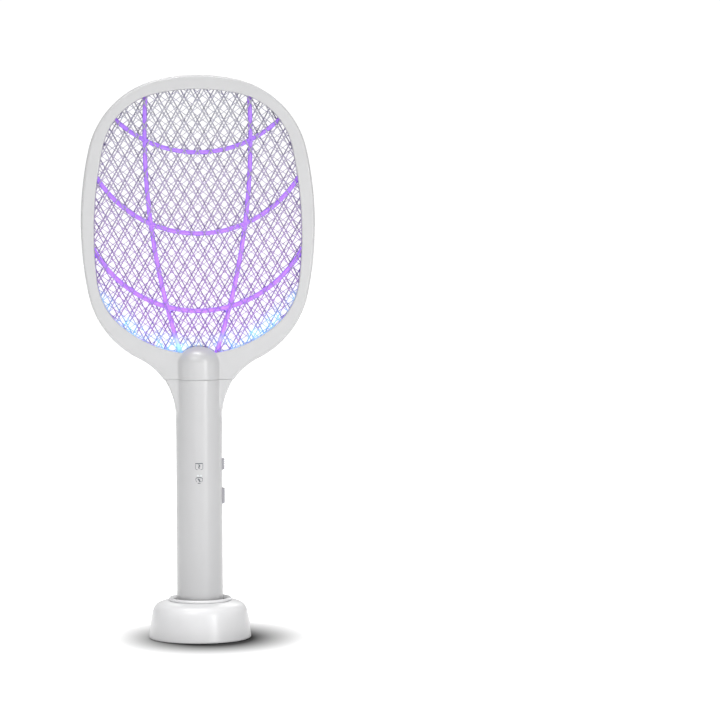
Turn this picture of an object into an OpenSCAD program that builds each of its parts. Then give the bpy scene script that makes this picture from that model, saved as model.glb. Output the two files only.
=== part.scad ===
// Electric fly swatter that stands in a round charging stand.
// Millimetres, +Z up, the front faces -Y, the origin is under the stand on the floor.

/* [Head] */
// Height of the top of the head above the floor
head_top = 486.2; // [484:0.1:488]
// Thickness of the hoop from front to back
hoop_t = 20; // [20:0.1:22]
// Wall thickness of the plastic shells
wall = 2; // [1.9:0.05:2.1]
// Width of the bevel around the hoop's edges
edge = 1.2; // [0.8:0.1:1.4]
// Height of the top of the opening above the floor
opening_top = 474.2; // [473.8:0.1:474.4]

/* [Nets] */
// Wire diameter of the guard nets
guard_wire = 1; // [0.8:0.05:1]
// Slope of the guard wires from level, in degrees
guard_slope = 61; // [55:1:65]
// Distance between guard wires, measured across them
guard_pitch = 9.95; // [9:0.05:12]
// How far the rear net's wires stand beside the front net's
guard_shift = 2.6; // [0:0.1:4]
// Wire diameter of the charged net
inner_wire = 0.7; // [0.5:0.05:0.7]
// Slope of the charged net's wires from level, in degrees
inner_slope = 37; // [30:1:45]
// Distance between the charged net's wires, measured across them
inner_pitch = 5.5; // [5:0.1:8]

/* [Ribs] */
// Width of a rib seen from the front
rib_w = 3.7; // [2.5:0.1:4]
// Bend radius of the three cross ribs
cross_rib_r = 102; // [95:1:110]
// Bend radius of the two long ribs
long_rib_r = 600; // [500:10:700]
// Widest half distance of the long ribs
long_rib_x = 45.4; // [42:0.1:48]

/* [Handle] */
// Radius of the handle
handle_r = 20; // [19.9:0.05:20.1]
// Height of the handle's bottom above the floor
handle_bottom = 12; // [12:0.05:12.1]
// Height of the joint between the handle and the head
seam_z = 224.7; // [223:0.1:226]
// Height where the neck's dome begins
dome_z = 239; // [238.5:0.1:239.5]
// Height of the dome itself
dome_h = 15.6; // [15:0.1:16]

/* [Controls] */
// Height of the knob's lower end at rest
knob_z = 146.2; // [146:0.1:147]
// Length of the knob along the handle
knob_len = 9.9; // [9:0.1:10]
// Travel of the knob
knob_travel = 4; // [3:0.5:4]
// Height of the push button's lower end
button_z = 116.8; // [116:0.1:117]
// Length of the push button along the handle
button_len = 13.6; // [13:0.1:14]
// How far knob and button stand out of the handle
control_out = 2; // [1.5:0.1:2.5]

/* [Stand] */
// Radius of the stand's foot
stand_r = 44.2; // [43.8:0.1:44.6]
// Radius of the socket that the handle drops into
socket_r = 22.5; // [22:0.1:22.8]
// Height of the stand's collar above the floor
collar_top = 35.5; // [35.3:0.1:35.8]
// Height of the rubber feet below the plate
foot_gap = 0.6; // [0.4:0.1:0.8]

/* [Lead] */
// Diameter of the charging lead
lead_d = 3.5; // [3.3:0.1:3.6]
// Radius of the coil at the middle of its turns
coil_r = 19; // [18:0.5:20]

/* [Hidden] */
$fn = 64;

// Colours
shell_grey = [0.84, 0.84, 0.85];
stand_white = [0.88, 0.88, 0.89];
rib_violet = [0.65, 0.48, 0.84];
wire_grey = [0.52, 0.52, 0.55];
board_green = [0.1, 0.35, 0.2];
chip_black = [0.12, 0.12, 0.13];
tin = [0.75, 0.75, 0.76];
brass = [0.8, 0.65, 0.35];
lead_white = [0.93, 0.93, 0.93];

// Arcs as [radius, turn]: each turns on from the last one's end, starting level at the top
outer_arcs = [[149, 13.3], [79.3, 64.3], [296, 24.1], [80.3, 52]];
opening_free_arcs = [[163, 13], [58.8, 64.5], [346, 19.5], [57.6, 41.5]];
arc_steps = 10;

// The neck's hollow arc ends upright at the handle's radius, the opening's last arc ends level
outer_turn = turned(outer_arcs, 4);
neck_r = (arc_start(outer_arcs, 4, 0)[0] - handle_r) / (1 - sin(outer_turn));
outline_arcs = concat(outer_arcs, [[-neck_r, 90 - outer_turn]]);
opening_turn = turned(opening_free_arcs, 4);
sill_r = arc_start(opening_free_arcs, 4, 0)[0] / sin(opening_turn);
opening_arcs = concat(opening_free_arcs, [[sill_r, 180 - opening_turn]]);
sill_z = opening_top + arc_start(opening_arcs, 5, 0)[1];
sill_centre_z = sill_z + sill_r;

// Layers of the head from the middle outwards, the same to the front and to the back
half_t = hoop_t / 2;
face_in = half_t - wall;
ring_w = 4;
inner_ring_t = 1.7;
guard_ring_out = face_in - 0.05;
guard_ring_in = guard_ring_out - 2 * guard_wire - 0.15;
rib_out = guard_ring_in - 0.1;
rib_in = inner_ring_t / 2 + 0.15;
pocket_gap = 0.3;
pocket_w = 1;
pocket_start = ring_w + pocket_gap;
rib_heights = [420, 350.3, 283.6];
long_rib_z = 435;

// Screws around the hoop as [arc, heading], and in the handle as [x, z]
hoop_screws = [[0, 0], [1, 16], [2, 84], [3, 118], [3, 148]];
hoop_screw_inset = wall + 2.4;
handle_screw_places = [[-13, 96.5], [13, 96.5], [-13, 206], [13, 206]];
lamp_x = [-66, -50, -32, -15.5, 15.5, 32, 50, 66];
lamp_y = -(rib_out + rib_in) / 2;
lamp_r = 1.5;

// Handle
web_bottom = 194;
web_cone_r = 30.2;
handle_in = handle_r - wall;
shell_bottom = handle_bottom + 2;
spigot_r = handle_in - 0.1;
spigot_bottom = 212;
pad_x = 8;
board_y = 3;
board_bottom = 102;
board_top = 200;
indicator_z = 142.7;
indicator_x = 1.3;
control_x = handle_r + control_out;
flange_x = 15;
flange_t = 1.6;
control_gap = 0.4;

// Stand, its outside as radius and height from the floor to the collar
stand_side = [
    [43.7, foot_gap], [stand_r, 1.2], [stand_r, 2.2], [43.7, 6], [43.1, 11], [42.3, 17],
    [41.4, 22.2], [40.4, 25.8], [38.8, 28.6], [36.4, 30.5], [33.4, 31.7], [30, 32.5], [27, 33]
];
stand_wall = 2.2;
plate_top = 2.4;
plate_r = 42.3;
cup_floor_top = handle_bottom - 0.05;
cup_floor_t = 2;
cup_wall = 1.5;
circuit_bottom = 2.6;
circuit_top = 3.6;
housing_top = 8.9;
chamber_top = 6.7;
pin_r = 1;
pin_top = handle_bottom - 0.04;
inlet_z = 7;
inlet_front = 37.5;
stand_screw_r = 38.6;
stand_screw_angles = [-90, 30, 150];
foot_place_r = 33;
foot_angles = [45, 135, 225, 315];

// Lead: the two free runs' points, chosen by hand, and the coil between them. The last
// quarter turn belongs to the second run, because it rises over the first turn's own rise
plug_nose = 38;
plug_end = 61;
coil_x = 19;
coil_y = 85;
coil_lift = 0.5;
run_in = [
    [0, 61, 7], [0, 63, 7], [0, 65, 6.6], [0, 67, 5.8], [0, 69, 4.8], [0, 71, 3.8],
    [0, 73, 3], [0, 75, 2.5], [0, 77, 2.3], [0, 81, 2.25], [0, 85, 2.25]
];
run_out = [
    [19, 66, 5.75], [15.3, 66.4, 6], [11.7, 67.4, 6.7], [8.4, 69.2, 7.7], [5.6, 71.6, 8.6],
    [3.2, 74.4, 9.2], [1.4, 77.7, 9.3], [0.4, 81.3, 9.3], [0, 85, 9.3], [-0.9, 88.6, 9.1],
    [-2.9, 91.8, 7.9], [-5.6, 94.5, 6.2], [-8.7, 96.3, 4.5], [-12, 97, 3.2], [-15.4, 96.4, 2.4],
    [-18.4, 94.6, 2.4], [-20.8, 92, 3], [-22.6, 88.8, 3.6], [-23.3, 86, 3.9], [-23.5, 83, 4]
];
usb_x = -23.5;
usb_y = 83;
usb_z = 4;
cord_sides = 8;

// Turn reached before arc k, and the place where arc k starts, from the top of the shape
function turned(arcs, k) = k == 0 ? 0 : turned(arcs, k - 1) + arcs[k - 1][1];
function step_along(r, a, b) = r * [sin(b) - sin(a), cos(b) - cos(a)];
function arc_start(arcs, k, inset) = k == 0 ? [0, 0]
    : arc_start(arcs, k - 1, inset)
      + step_along(arcs[k - 1][0] - inset, turned(arcs, k - 1), turned(arcs, k));
function arc_point(arcs, k, turn, top, inset) = [0, top - inset] + arc_start(arcs, k, inset)
    + step_along(arcs[k][0] - inset, turned(arcs, k), turn);

// The right half of a shape made of arcs, then the whole closed shape
function half_shape(arcs, top, inset) = [
    for (k = [0 : len(arcs) - 1], i = [0 : arc_steps - 1])
        arc_point(arcs, k, turned(arcs, k) + arcs[k][1] * i / arc_steps, top, inset)
];
function shape_end(arcs, top, inset) = arc_point(
    arcs, len(arcs) - 1, turned(arcs, len(arcs)), top, inset);
function flipped(points) = [for (i = [len(points) - 1 : -1 : 1]) [-points[i][0], points[i][1]]];
function outline_points(inset) = let (right = half_shape(outline_arcs, head_top, inset),
    last = shape_end(outline_arcs, head_top, inset))
    concat(right, [last], [[-last[0], last[1]]], flipped(right));
function opening_points(grow) = let (right = half_shape(opening_arcs, opening_top, -grow))
    concat(right, [[0, sill_z - grow]], flipped(right));

// Where the line with normal n at distance d from the origin crosses a closed shape
function crossings(points, n, d) = [
    for (i = [0 : len(points) - 1])
        let (p = points[i], q = points[(i + 1) % len(points)], a = p * n - d, b = q * n - d)
            if (a * b < 0) p + (q - p) * (a / (a - b))
];

// Rings of a tube swept along a route, square to the route's own direction
function unit(v) = v / norm(v);
function heading(route, i) = unit(
    route[min(i + 1, len(route) - 1)] - route[max(i - 1, 0)]);
function tube_ring(route, i, r, side) = let (along = heading(route, i),
    u = unit(cross(along, side)), v = cross(along, u))
    [for (k = [0 : cord_sides - 1]) route[i]
        + r * (cos(k * 360 / cord_sides) * u + sin(k * 360 / cord_sides) * v)];

module tube(route, r, side = [1, 0, 0]) {
    rings = [for (i = [0 : len(route) - 1]) each tube_ring(route, i, r, side)];
    last = len(rings) - cord_sides;
    walls = [
        for (i = [0 : len(route) - 2], k = [0 : cord_sides - 1])
            let (a = i * cord_sides + k, b = i * cord_sides + (k + 1) % cord_sides)
                [a, b, b + cord_sides, a + cord_sides]
    ];
    start_cap = [for (k = [cord_sides - 1 : -1 : 0]) k];
    end_cap = [for (k = [0 : cord_sides - 1]) last + k];
    polyhedron(rings, concat([start_cap, end_cap], walls));
}

// A flat shape drawn in X and Z, given its thickness from y0 to y1
module slab(y0, y1) {
    translate([0, y1, 0]) rotate([90, 0, 0]) linear_extrude(y1 - y0) children();
}

module box(low, high) {
    translate(low) cube(high - low);
}

module rounded_box(low, high, r) {
    translate([low[0] + r, low[1]]) square([high[0] - low[0] - 2 * r, high[1] - low[1]]);
    translate([low[0], low[1] + r]) square([high[0] - low[0], high[1] - low[1] - 2 * r]);
    for (x = [low[0] + r, high[0] - r], y = [low[1] + r, high[1] - r])
        translate([x, y]) circle(r, $fn = 24);
}

// A cylinder along Y
module rod(x, z, y0, y1, r, sides = 24) {
    translate([x, y1, z]) rotate([90, 0, 0]) cylinder(h = y1 - y0, r = r, $fn = sides);
}

module front_side() {
    intersection() {
        children();
        box([-150, -60, -10], [150, 0, 520]);
    }
}

module rear_side() {
    intersection() {
        children();
        box([-150, 0, -10], [150, 60, 520]);
    }
}

module outline(inset, low, high) {
    intersection() {
        polygon(outline_points(inset));
        translate([-150, low]) square([300, high - low]);
    }
}

module opening(grow) {
    polygon(opening_points(grow));
}

module rim_band(from, to) {
    difference() {
        opening(to);
        opening(from);
    }
}

// The hoop's screws lie just inside its outer wall, one at the top and the rest in pairs
module place_hoop_screws() {
    for (s = hoop_screws) {
        p = arc_point(outline_arcs, s[0], s[1], head_top, hoop_screw_inset);
        for (side = p[0] < 1 ? [1] : [-1, 1])
            translate([side * p[0], 0, p[1]]) children();
    }
}

module place_lamps() {
    for (x = lamp_x)
        translate([0, lamp_y, sill_centre_z])
            rotate([0, -asin(x / sill_r), 0]) translate([0, 0, -sill_r]) children();
}

// ---------------------------------------------------------------- head

module dome_form(r, h, y_clear) {
    difference() {
        rotate_extrude()
            polygon(concat([[0, dome_z - 0.1], [r, dome_z - 0.1]],
                [for (a = [0 : 9 : 90]) [r * cos(a), dome_z + h * sin(a)]]));
        if (y_clear > 0)
            box([-30, -y_clear, dome_z - 5], [30, y_clear, dome_z + 30]);
    }
}

module head_form() {
    difference() {
        union() {
            slab(-half_t + edge, half_t - edge) outline(0, seam_z, 500);
            slab(-half_t, half_t) outline(edge, seam_z, 500);
        }
        slab(-half_t - 1, half_t + 1) opening(0);
        slab(-half_t - 1, -half_t + 0.8) opening(0.8);
        slab(half_t - 0.8, half_t + 1) opening(0.8);
    }
    translate([0, 0, seam_z]) cylinder(h = dome_z - seam_z, r = handle_r);
    dome_form(handle_r - 0.02, dome_h, 0);
}

module head_shell() {
    difference() {
        head_form();
        slab(-face_in, face_in) outline(wall, seam_z - 1, 500);
        translate([0, 0, seam_z - 1]) cylinder(h = dome_z - seam_z + 1, r = handle_in);
        dome_form(handle_in - 0.1, dome_h - wall, half_t);
    }
    difference() {
        slab(-face_in - 0.5, face_in + 0.5)
            rim_band(pocket_start, pocket_start + pocket_w);
        box([-7, -half_t, sill_z - 12], [7, half_t, sill_z]);
    }
    place_hoop_screws() rod(0, 0, -face_in - 0.5, face_in + 0.5, 2.4);
    difference() {
        union() {
            translate([0, 0, seam_z + 0.3]) cylinder(h = 5, r = handle_in + 0.4);
            translate([0, 0, spigot_bottom])
                cylinder(h = seam_z - spigot_bottom + 1, r = spigot_r);
        }
        translate([0, 0, spigot_bottom - 1]) cylinder(h = 30, r = spigot_r - 1.5);
    }
}

module head_front() {
    color(shell_grey) difference() {
        front_side() head_shell();
        place_hoop_screws() rod(0, 0, -6.5, 1, 1);
        place_lamps() translate([0, 0, -9]) cylinder(h = 9, r = lamp_r + 0.3, $fn = 24);
    }
}

module head_rear() {
    color(shell_grey) difference() {
        rear_side() head_shell();
        place_hoop_screws() {
            rod(0, 0, -1, 12, 1.15);
            rod(0, 0, 8.6, 12, 2.1);
        }
    }
}

module head_screws() {
    color(tin) place_hoop_screws() {
        rod(0, 0, -6, 8.7, 0.95);
        rod(0, 0, 8.62, 9.8, 1.9);
    }
}

// Wires of one slope across the opening, their ends inside the net's own rim
module wire_layer(y, slope, pitch, shift, d) {
    points = opening_points(ring_w / 2);
    normal = [-sin(slope), cos(slope)];
    middle = [0, (opening_top + sill_z) / 2] * normal;
    count = ceil(125 / pitch);
    for (k = [-count : count]) {
        ends = crossings(points, normal, middle + k * pitch + shift);
        if (len(ends) == 2) {
            span = ends[1] - ends[0];
            translate([ends[0][0], y, ends[0][1]])
                rotate([0, 90 - atan2(span[1], span[0]), 0])
                    cylinder(h = norm(span), d = d, $fn = 8);
        }
    }
}

// Two layers of wires and the rim that holds them, from y0 to y1
module net(y0, y1, slope, pitch, shift, d) {
    middle = (y0 + y1) / 2;
    layer = d / 2 + 0.03;
    slab(y0, y1) rim_band(0.2, ring_w);
    wire_layer(middle - layer, slope, pitch, shift, d);
    wire_layer(middle + layer, -slope, pitch, shift, d);
}

module front_net() {
    color(wire_grey)
        net(-guard_ring_out, -guard_ring_in, guard_slope, guard_pitch, 0, guard_wire);
}

module rear_net() {
    color(wire_grey)
        net(guard_ring_in, guard_ring_out, guard_slope, guard_pitch, guard_shift, guard_wire);
}

module inner_net() {
    color(tin)
        net(-inner_ring_t / 2, inner_ring_t / 2, inner_slope, inner_pitch, 1, inner_wire);
}

module arc_rib(x, z, r) {
    translate([x, z]) difference() {
        circle(r + rib_w / 2, $fn = 180);
        circle(r - rib_w / 2, $fn = 180);
    }
}

// The spacer between the charged net and one guard net
module rib_frame(y0, y1) {
    slab(y0, y1) rim_band(0.2, ring_w);
    slab(y0, y1) intersection() {
        union() {
            for (z = rib_heights) intersection() {
                arc_rib(0, z + cross_rib_r, cross_rib_r);
                translate([-95, z - 5]) square([190, 75]);
            }
            for (side = [-1, 1])
                arc_rib(side * (long_rib_x - long_rib_r), long_rib_z, long_rib_r);
        }
        opening(ring_w / 2);
    }
}

module front_ribs() {
    color(rib_violet) difference() {
        rib_frame(-rib_out, -rib_in);
        place_lamps() translate([0, 0, -6]) cylinder(h = 7, r = lamp_r + 0.3, $fn = 24);
    }
}

module rear_ribs() {
    color(rib_violet) rib_frame(rib_in, rib_out);
}

module lure_board() {
    color(board_green) slab(lamp_y - 1.8, lamp_y + 1.8) intersection() {
        translate([0, sill_centre_z]) difference() {
            circle(sill_r + 6.8, $fn = 180);
            circle(sill_r + 5.6, $fn = 180);
        }
        polygon([[0, sill_centre_z], [-88, 236], [88, 236]]);
    }
}

module lure_lamps() {
    color([0.8, 0.95, 1]) place_lamps() {
        translate([0, 0, -5.5]) cylinder(h = 3.6, r = lamp_r, $fn = 24);
        translate([0, 0, -2]) cylinder(h = 1.4, r1 = lamp_r - 0.1, r2 = 0.8, $fn = 24);
    }
}

// ---------------------------------------------------------------- handle

module handle_shell() {
    difference() {
        union() {
            translate([0, 0, shell_bottom])
                cylinder(h = seam_z - shell_bottom, r = handle_r);
            intersection() {
                union() {
                    slab(-half_t + edge, half_t - edge) outline(0, web_bottom, seam_z);
                    slab(-half_t, half_t) outline(edge, web_bottom, seam_z);
                }
                translate([0, 0, web_bottom])
                    cylinder(h = seam_z - web_bottom, r1 = handle_r - 0.3, r2 = web_cone_r);
            }
        }
        translate([0, 0, shell_bottom - 1])
            cylinder(h = seam_z - shell_bottom + 2, r = handle_in);
        slab(-face_in, face_in) outline(wall, web_bottom + 4 * wall, seam_z + 1);
    }
    intersection() {
        for (p = handle_screw_places) rod(p[0], p[1], -12, 12, 3);
        translate([0, 0, shell_bottom]) cylinder(h = 200, r = handle_r - wall / 2);
    }
}

module control_windows() {
    box([14, -3.7, knob_z - control_gap],
        [24, 3.7, knob_z + knob_len + knob_travel + control_gap]);
    box([14, -4, button_z - control_gap], [24, 4, button_z + button_len + control_gap]);
}

module handle_front() {
    color(shell_grey) difference() {
        front_side() handle_shell();
        control_windows();
        for (x = [-indicator_x, indicator_x]) rod(x, indicator_z, -22, -16, 0.85);
        for (p = handle_screw_places) rod(p[0], p[1], -9.5, 1, 1.25);
    }
}

module handle_rear() {
    color(shell_grey) difference() {
        union() {
            rear_side() handle_shell();
            for (z = [board_bottom + 8, board_top - 8]) rod(0, z, board_y + 1.7, 18.5, 2);
        }
        control_windows();
        for (p = handle_screw_places) {
            rod(p[0], p[1], -1, 22, 1.35);
            rod(p[0], p[1], 9, 22, 2.6);
        }
    }
}

module handle_screws() {
    color(tin) for (p = handle_screw_places) {
        rod(p[0], p[1], -9, 9.1, 1.2);
        rod(p[0], p[1], 9.02, 11, 2.4);
    }
}

module handle_cap() {
    color(shell_grey) difference() {
        union() {
            translate([0, 0, handle_bottom]) cylinder(h = 2, r = handle_r - 0.6);
            translate([0, 0, handle_bottom + 1]) cylinder(h = 4, r = spigot_r);
        }
        translate([0, 0, handle_bottom + 2]) cylinder(h = 5, r = spigot_r - wall);
        for (x = [-pad_x, pad_x]) translate([x, 0, handle_bottom]) {
            translate([0, 0, -1]) cylinder(h = 2.25, r = 3.1);
            cylinder(h = 5, r = 1.3, $fn = 24);
        }
    }
}

module contact_pads() {
    color(brass) for (x = [-pad_x, pad_x]) translate([x, 0, handle_bottom]) {
        cylinder(h = 1.2, r = 3);
        cylinder(h = 3.6, r = 1.2, $fn = 24);
    }
}

module battery_cell() {
    color([0.2, 0.35, 0.6]) {
        translate([0, 0, 24]) cylinder(h = 64, r = 9.1);
        translate([0, 0, 87.9]) cylinder(h = 1.1, r = 3);
    }
}

module battery_cradle() {
    color(chip_black) {
        difference() {
            union() {
                translate([0, 0, 20.5]) cylinder(h = 72, r = 10.8);
                for (z = [40, 70]) box([-4, 9, z], [4, 17.2, z + 4]);
            }
            translate([0, 0, 22]) cylinder(h = 69, r = 9.4);
            box([-12, -12, 22], [12, 0, 91]);
        }
    }
}

module battery_contacts() {
    color(tin) {
        translate([0, 0, 22.05]) cylinder(h = 0.5, r = 7);
        translate([0, 0, 22.5]) cylinder(h = 1.4, r = 4);
        translate([0, 0, 89.1]) cylinder(h = 1.8, r = 6);
    }
}

module main_board() {
    color(board_green) difference() {
        box([-13.5, board_y, board_bottom], [13.5, board_y + 1.6, board_top]);
        for (x = [-11, 11], z = [board_bottom + 3, board_top - 3])
            rod(x, z, board_y - 1, board_y + 3, 1);
    }
}

module board_chips() {
    color(chip_black) {
        box([-9, board_y - 1.6, 126], [-3, board_y - 0.02, 136]);
        box([-10, board_y - 1.2, 152], [-6, board_y - 0.02, 157]);
        box([-3, board_y - 1.4, 112], [3, board_y - 0.02, 117]);
        for (z = [160, 163, 166]) box([3, board_y - 0.8, z], [5, board_y - 0.02, z + 1.2]);
    }
}

module hv_transformer() {
    color([0.45, 0.25, 0.12]) {
        box([-8, board_y - 11, 171], [8, board_y - 0.02, 186]);
        box([-9.5, board_y - 9, 174], [9.5, board_y - 3, 183]);
    }
}

module hv_capacitors() {
    color([0.7, 0.3, 0.15]) for (x = [-9, 0, 9])
        slab(board_y - 9, board_y - 0.02) rounded_box([x - 3.5, 188.5], [x + 3.5, 198.5], 1.5);
}

module slide_switch() {
    color(chip_black) box([6, -2.2, knob_z - 1], [12.2, board_y - 0.02, knob_z + 15]);
}

module tact_switch() {
    middle = button_z + button_len / 2;
    color(chip_black) {
        box([8.5, -3, middle - 3], [12, board_y - 0.02, middle + 3]);
        translate([11.9, 0, middle]) rotate([0, 90, 0]) cylinder(h = 0.6, r = 1.7, $fn = 24);
    }
}

module indicator_lamps() {
    color([0.9, 0.95, 0.9]) for (x = [-indicator_x, indicator_x])
        box([x - 0.8, 0.05, indicator_z - 0.8], [x + 0.8, board_y - 0.02, indicator_z + 0.8]);
}

module light_guides() {
    color([0.95, 0.95, 0.95]) for (x = [-indicator_x, indicator_x])
        rod(x, indicator_z, -19.85, 0, 0.8);
}

module charge_leads() {
    color([0.75, 0.1, 0.1]) for (side = [-1, 1])
        tube([
            [side * 8, 0, 15.9], [side * 8, -1, 17.8], [side * 7, -7, 19], [side * 5, -12, 21],
            [side * 4, -14, 26], [side * 4, -14.5, 60], [side * 4, -14, 92],
            [side * 4.5, -10, 101], [side * 5, -4, 106], [side * 5, 2.2, 108]
        ], 0.7);
}

module battery_leads() {
    color([0.1, 0.1, 0.1]) for (side = [-1, 1])
        tube([
            [side * 7.5, -2.5, 92.8], [side * 7.5, -2.7, 95], [side * 8, -4, 99],
            [side * 8.5, -1, 103.5], [side * 8.5, 2.2, 105]
        ], 0.7);
}

module net_leads() {
    foot_z = sill_z - ring_w - 0.1;
    color([0.9, 0.9, 0.9]) {
        tube([[-3, -7.3, 186.3], [-3, -7.7, 190], [-3, -7.7, 202], [-2.5, -6.9, 222],
            [-2, -6.75, 236], [-2, -6.75, foot_z]], 0.6);
        tube([[0, -7.3, 186.3], [0, -7.7, 190], [0, -7.7, 200], [0, -5, 212], [0, -1, 226],
            [0, 0, 236], [0, 0, foot_z]], 0.6);
        tube([[3, -7.3, 186.3], [3, -7.7, 190], [3, -7.7, 200], [2.8, -4, 209],
            [2.5, 3, 222], [2, 6.5, 234], [2, 6.75, foot_z]], 0.6);
        tube([[8.5, 2.2, 199.3], [8.5, 1, 204], [8, -1.5, 216], [9, -3.2, 232],
            [9, lamp_y, 239.4]], 0.6);
    }
}

// ---------------------------------------------------------------- controls

module control_body(low_z, len, half_y, round) {
    slab(-half_y, half_y)
        rounded_box([flange_x, low_z], [control_x, low_z + len], round);
}

module mode_knob() {
    color(stand_white) {
        difference() {
            control_body(knob_z, knob_len, 3.3, 0.8);
            for (k = [1 : 4])
                box([control_x - 0.6, -4, knob_z + k * knob_len / 5 - 0.5],
                    [control_x + 1, 4, knob_z + k * knob_len / 5 + 0.5]);
        }
        box([flange_x, -5.5, knob_z - 4.7], [flange_x + flange_t, 5.5, knob_z + knob_len + 5.4]);
        box([12.4, -1.2, knob_z + 3.5], [flange_x + 0.5, 1.2, knob_z + 6.5]);
    }
}

module zap_button() {
    color(stand_white) {
        control_body(button_z, button_len, 3.6, 1.4);
        box([flange_x, -5.5, button_z - 2.3],
            [flange_x + flange_t, 5.5, button_z + button_len + 2.3]);
        translate([13.75, 0, button_z + button_len / 2]) rotate([0, 90, 0])
            cylinder(h = 1.5, r = 1.5, $fn = 24);
    }
}

// ---------------------------------------------------------------- stand

module stand_shell() {
    color(stand_white) difference() {
        union() {
            rotate_extrude($fn = 96) polygon(concat(stand_side,
                [[socket_r + cup_wall + 0.2, 33], [socket_r + cup_wall + 0.2, 31]],
                [for (i = [len(stand_side) - 1 : -1 : 1])
                    [stand_side[i][0] - stand_wall, max(stand_side[i][1] - 1.6, foot_gap)]]));
            for (a = stand_screw_angles) rotate([0, 0, a]) translate([stand_screw_r, 0, plate_top])
                cylinder(h = 8, r = 3.4);
        }
        for (a = stand_screw_angles) rotate([0, 0, a])
            translate([stand_screw_r, 0, plate_top - 1]) cylinder(h = 7, r = 1.1, $fn = 24);
        translate([0, 0, -1]) cylinder(h = plate_top + 1.1, r = plate_r + 0.1, $fn = 96);
        box([-6.5, 34, inlet_z - 4.2], [6.5, 48, inlet_z + 4.2]);
    }
}

module socket_cup() {
    inner = socket_r;
    outer = socket_r + cup_wall;
    low = cup_floor_top - cup_floor_t;
    color(stand_white) difference() {
        rotate_extrude($fn = 96) polygon([
            [0, low], [outer, low], [outer, 33.1], [26.9, 33.1], [27.3, 33.6], [27.3, 34.5],
            [27, 35.2], [26.4, collar_top], [25.7, 35.4], [24.4, 34.6], [23.2, 33.6],
            [inner, 32.5], [inner, cup_floor_top], [0, cup_floor_top]
        ]);
        for (x = [-pad_x, pad_x]) translate([x, 0, low - 1])
            cylinder(h = 4, r = 1.4, $fn = 24);
    }
}

module stand_plate() {
    color(stand_white) difference() {
        union() {
            translate([0, 0, foot_gap]) cylinder(h = plate_top - foot_gap, r = plate_r, $fn = 96);
            for (a = foot_angles) rotate([0, 0, a]) translate([18, 0, plate_top - 0.5])
                cylinder(h = circuit_bottom - plate_top + 0.48, r = 2.5, $fn = 24);
        }
        for (a = stand_screw_angles) rotate([0, 0, a]) translate([stand_screw_r, 0, 0]) {
            cylinder(h = 5, r = 1.5, $fn = 24);
            cylinder(h = 1.6, r = 2.8, $fn = 24);
        }
        for (a = foot_angles) rotate([0, 0, a]) translate([foot_place_r, 0, 0])
            cylinder(h = 1.6, r = 4.6);
    }
}

module stand_feet() {
    color(chip_black) for (a = foot_angles) rotate([0, 0, a])
        translate([foot_place_r, 0, 0]) cylinder(h = 1.58, r = 4.5);
}

module stand_screws() {
    color(tin) for (a = stand_screw_angles) rotate([0, 0, a])
        translate([stand_screw_r, 0, 0]) {
            translate([0, 0, foot_gap + 0.1]) cylinder(h = 0.88, r = 2.5, $fn = 24);
            translate([0, 0, foot_gap + 0.5]) cylinder(h = 6.6, r = 1, $fn = 24);
        }
}

module ballast_ring() {
    color([0.5, 0.5, 0.52]) difference() {
        translate([0, 0, circuit_bottom]) cylinder(h = 6.4, r = 34.5);
        cylinder(h = 20, r = 26);
        box([-11, 10, -1], [11, 40, 20]);
    }
}

module stand_board() {
    color(board_green) {
        translate([0, 0, circuit_bottom]) cylinder(h = circuit_top - circuit_bottom, r = 22);
        box([-9, 15, circuit_bottom], [9, inlet_front, circuit_top]);
    }
}

module usb_inlet() {
    color(tin) {
        difference() {
            box([-4, 31, inlet_z - 1.5], [4, inlet_front, inlet_z + 1.5]);
            box([-3.7, 31.6, inlet_z - 1.2], [3.7, inlet_front + 1, inlet_z + 1.2]);
        }
        box([-1.6, 31.4, inlet_z - 0.25], [1.6, 35.5, inlet_z + 0.25]);
        box([-3.5, 31.5, circuit_top + 0.02], [3.5, 36.5, inlet_z - 1.4]);
    }
}

module pin_housing() {
    color(chip_black) difference() {
        box([-12, -4, circuit_top + 0.02], [12, 4, housing_top]);
        for (x = [-pad_x, pad_x]) translate([x, 0, 0]) {
            cylinder(h = 12, r = pin_r + 0.06);
            cylinder(h = chamber_top, r = 1.9);
        }
    }
}

module charge_pin(x) {
    color(brass) translate([x, 0, 0]) {
        translate([0, 0, 6.2]) cylinder(h = pin_top - 6.2, r = pin_r);
        translate([0, 0, 6]) cylinder(h = 0.6, r = 1.6);
        translate([0, 0, 5.4]) cylinder(h = 0.7, r = 0.8, $fn = 24);
    }
}

module pin_left() {
    charge_pin(-pad_x);
}

module pin_right() {
    charge_pin(pad_x);
}

// The spring's outer shape, a short sleeve between the board and the pin's collar
module pin_spring(x) {
    color(tin) translate([x, 0, circuit_top + 0.05]) difference() {
        cylinder(h = 2.3, r = 1.5);
        translate([0, 0, -1]) cylinder(h = 5, r = 1.1);
    }
}

module pin_spring_left() {
    pin_spring(-pad_x);
}

module pin_spring_right() {
    pin_spring(pad_x);
}

// ---------------------------------------------------------------- lead

module plug_block(x, y0, y1, z, w, h, r) {
    translate([x, y1, z]) rotate([90, 0, 0]) linear_extrude(y1 - y0)
        rounded_box([-w / 2, -h / 2], [w / 2, h / 2], r);
}

module micro_plug_shell() {
    color(tin) difference() {
        plug_block(0, 32, plug_nose + 1, inlet_z, 6.85, 1.8, 0.5);
        box([-1.9, 31, inlet_z - 0.5], [1.9, 36.5, inlet_z + 0.5]);
    }
}

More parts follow.
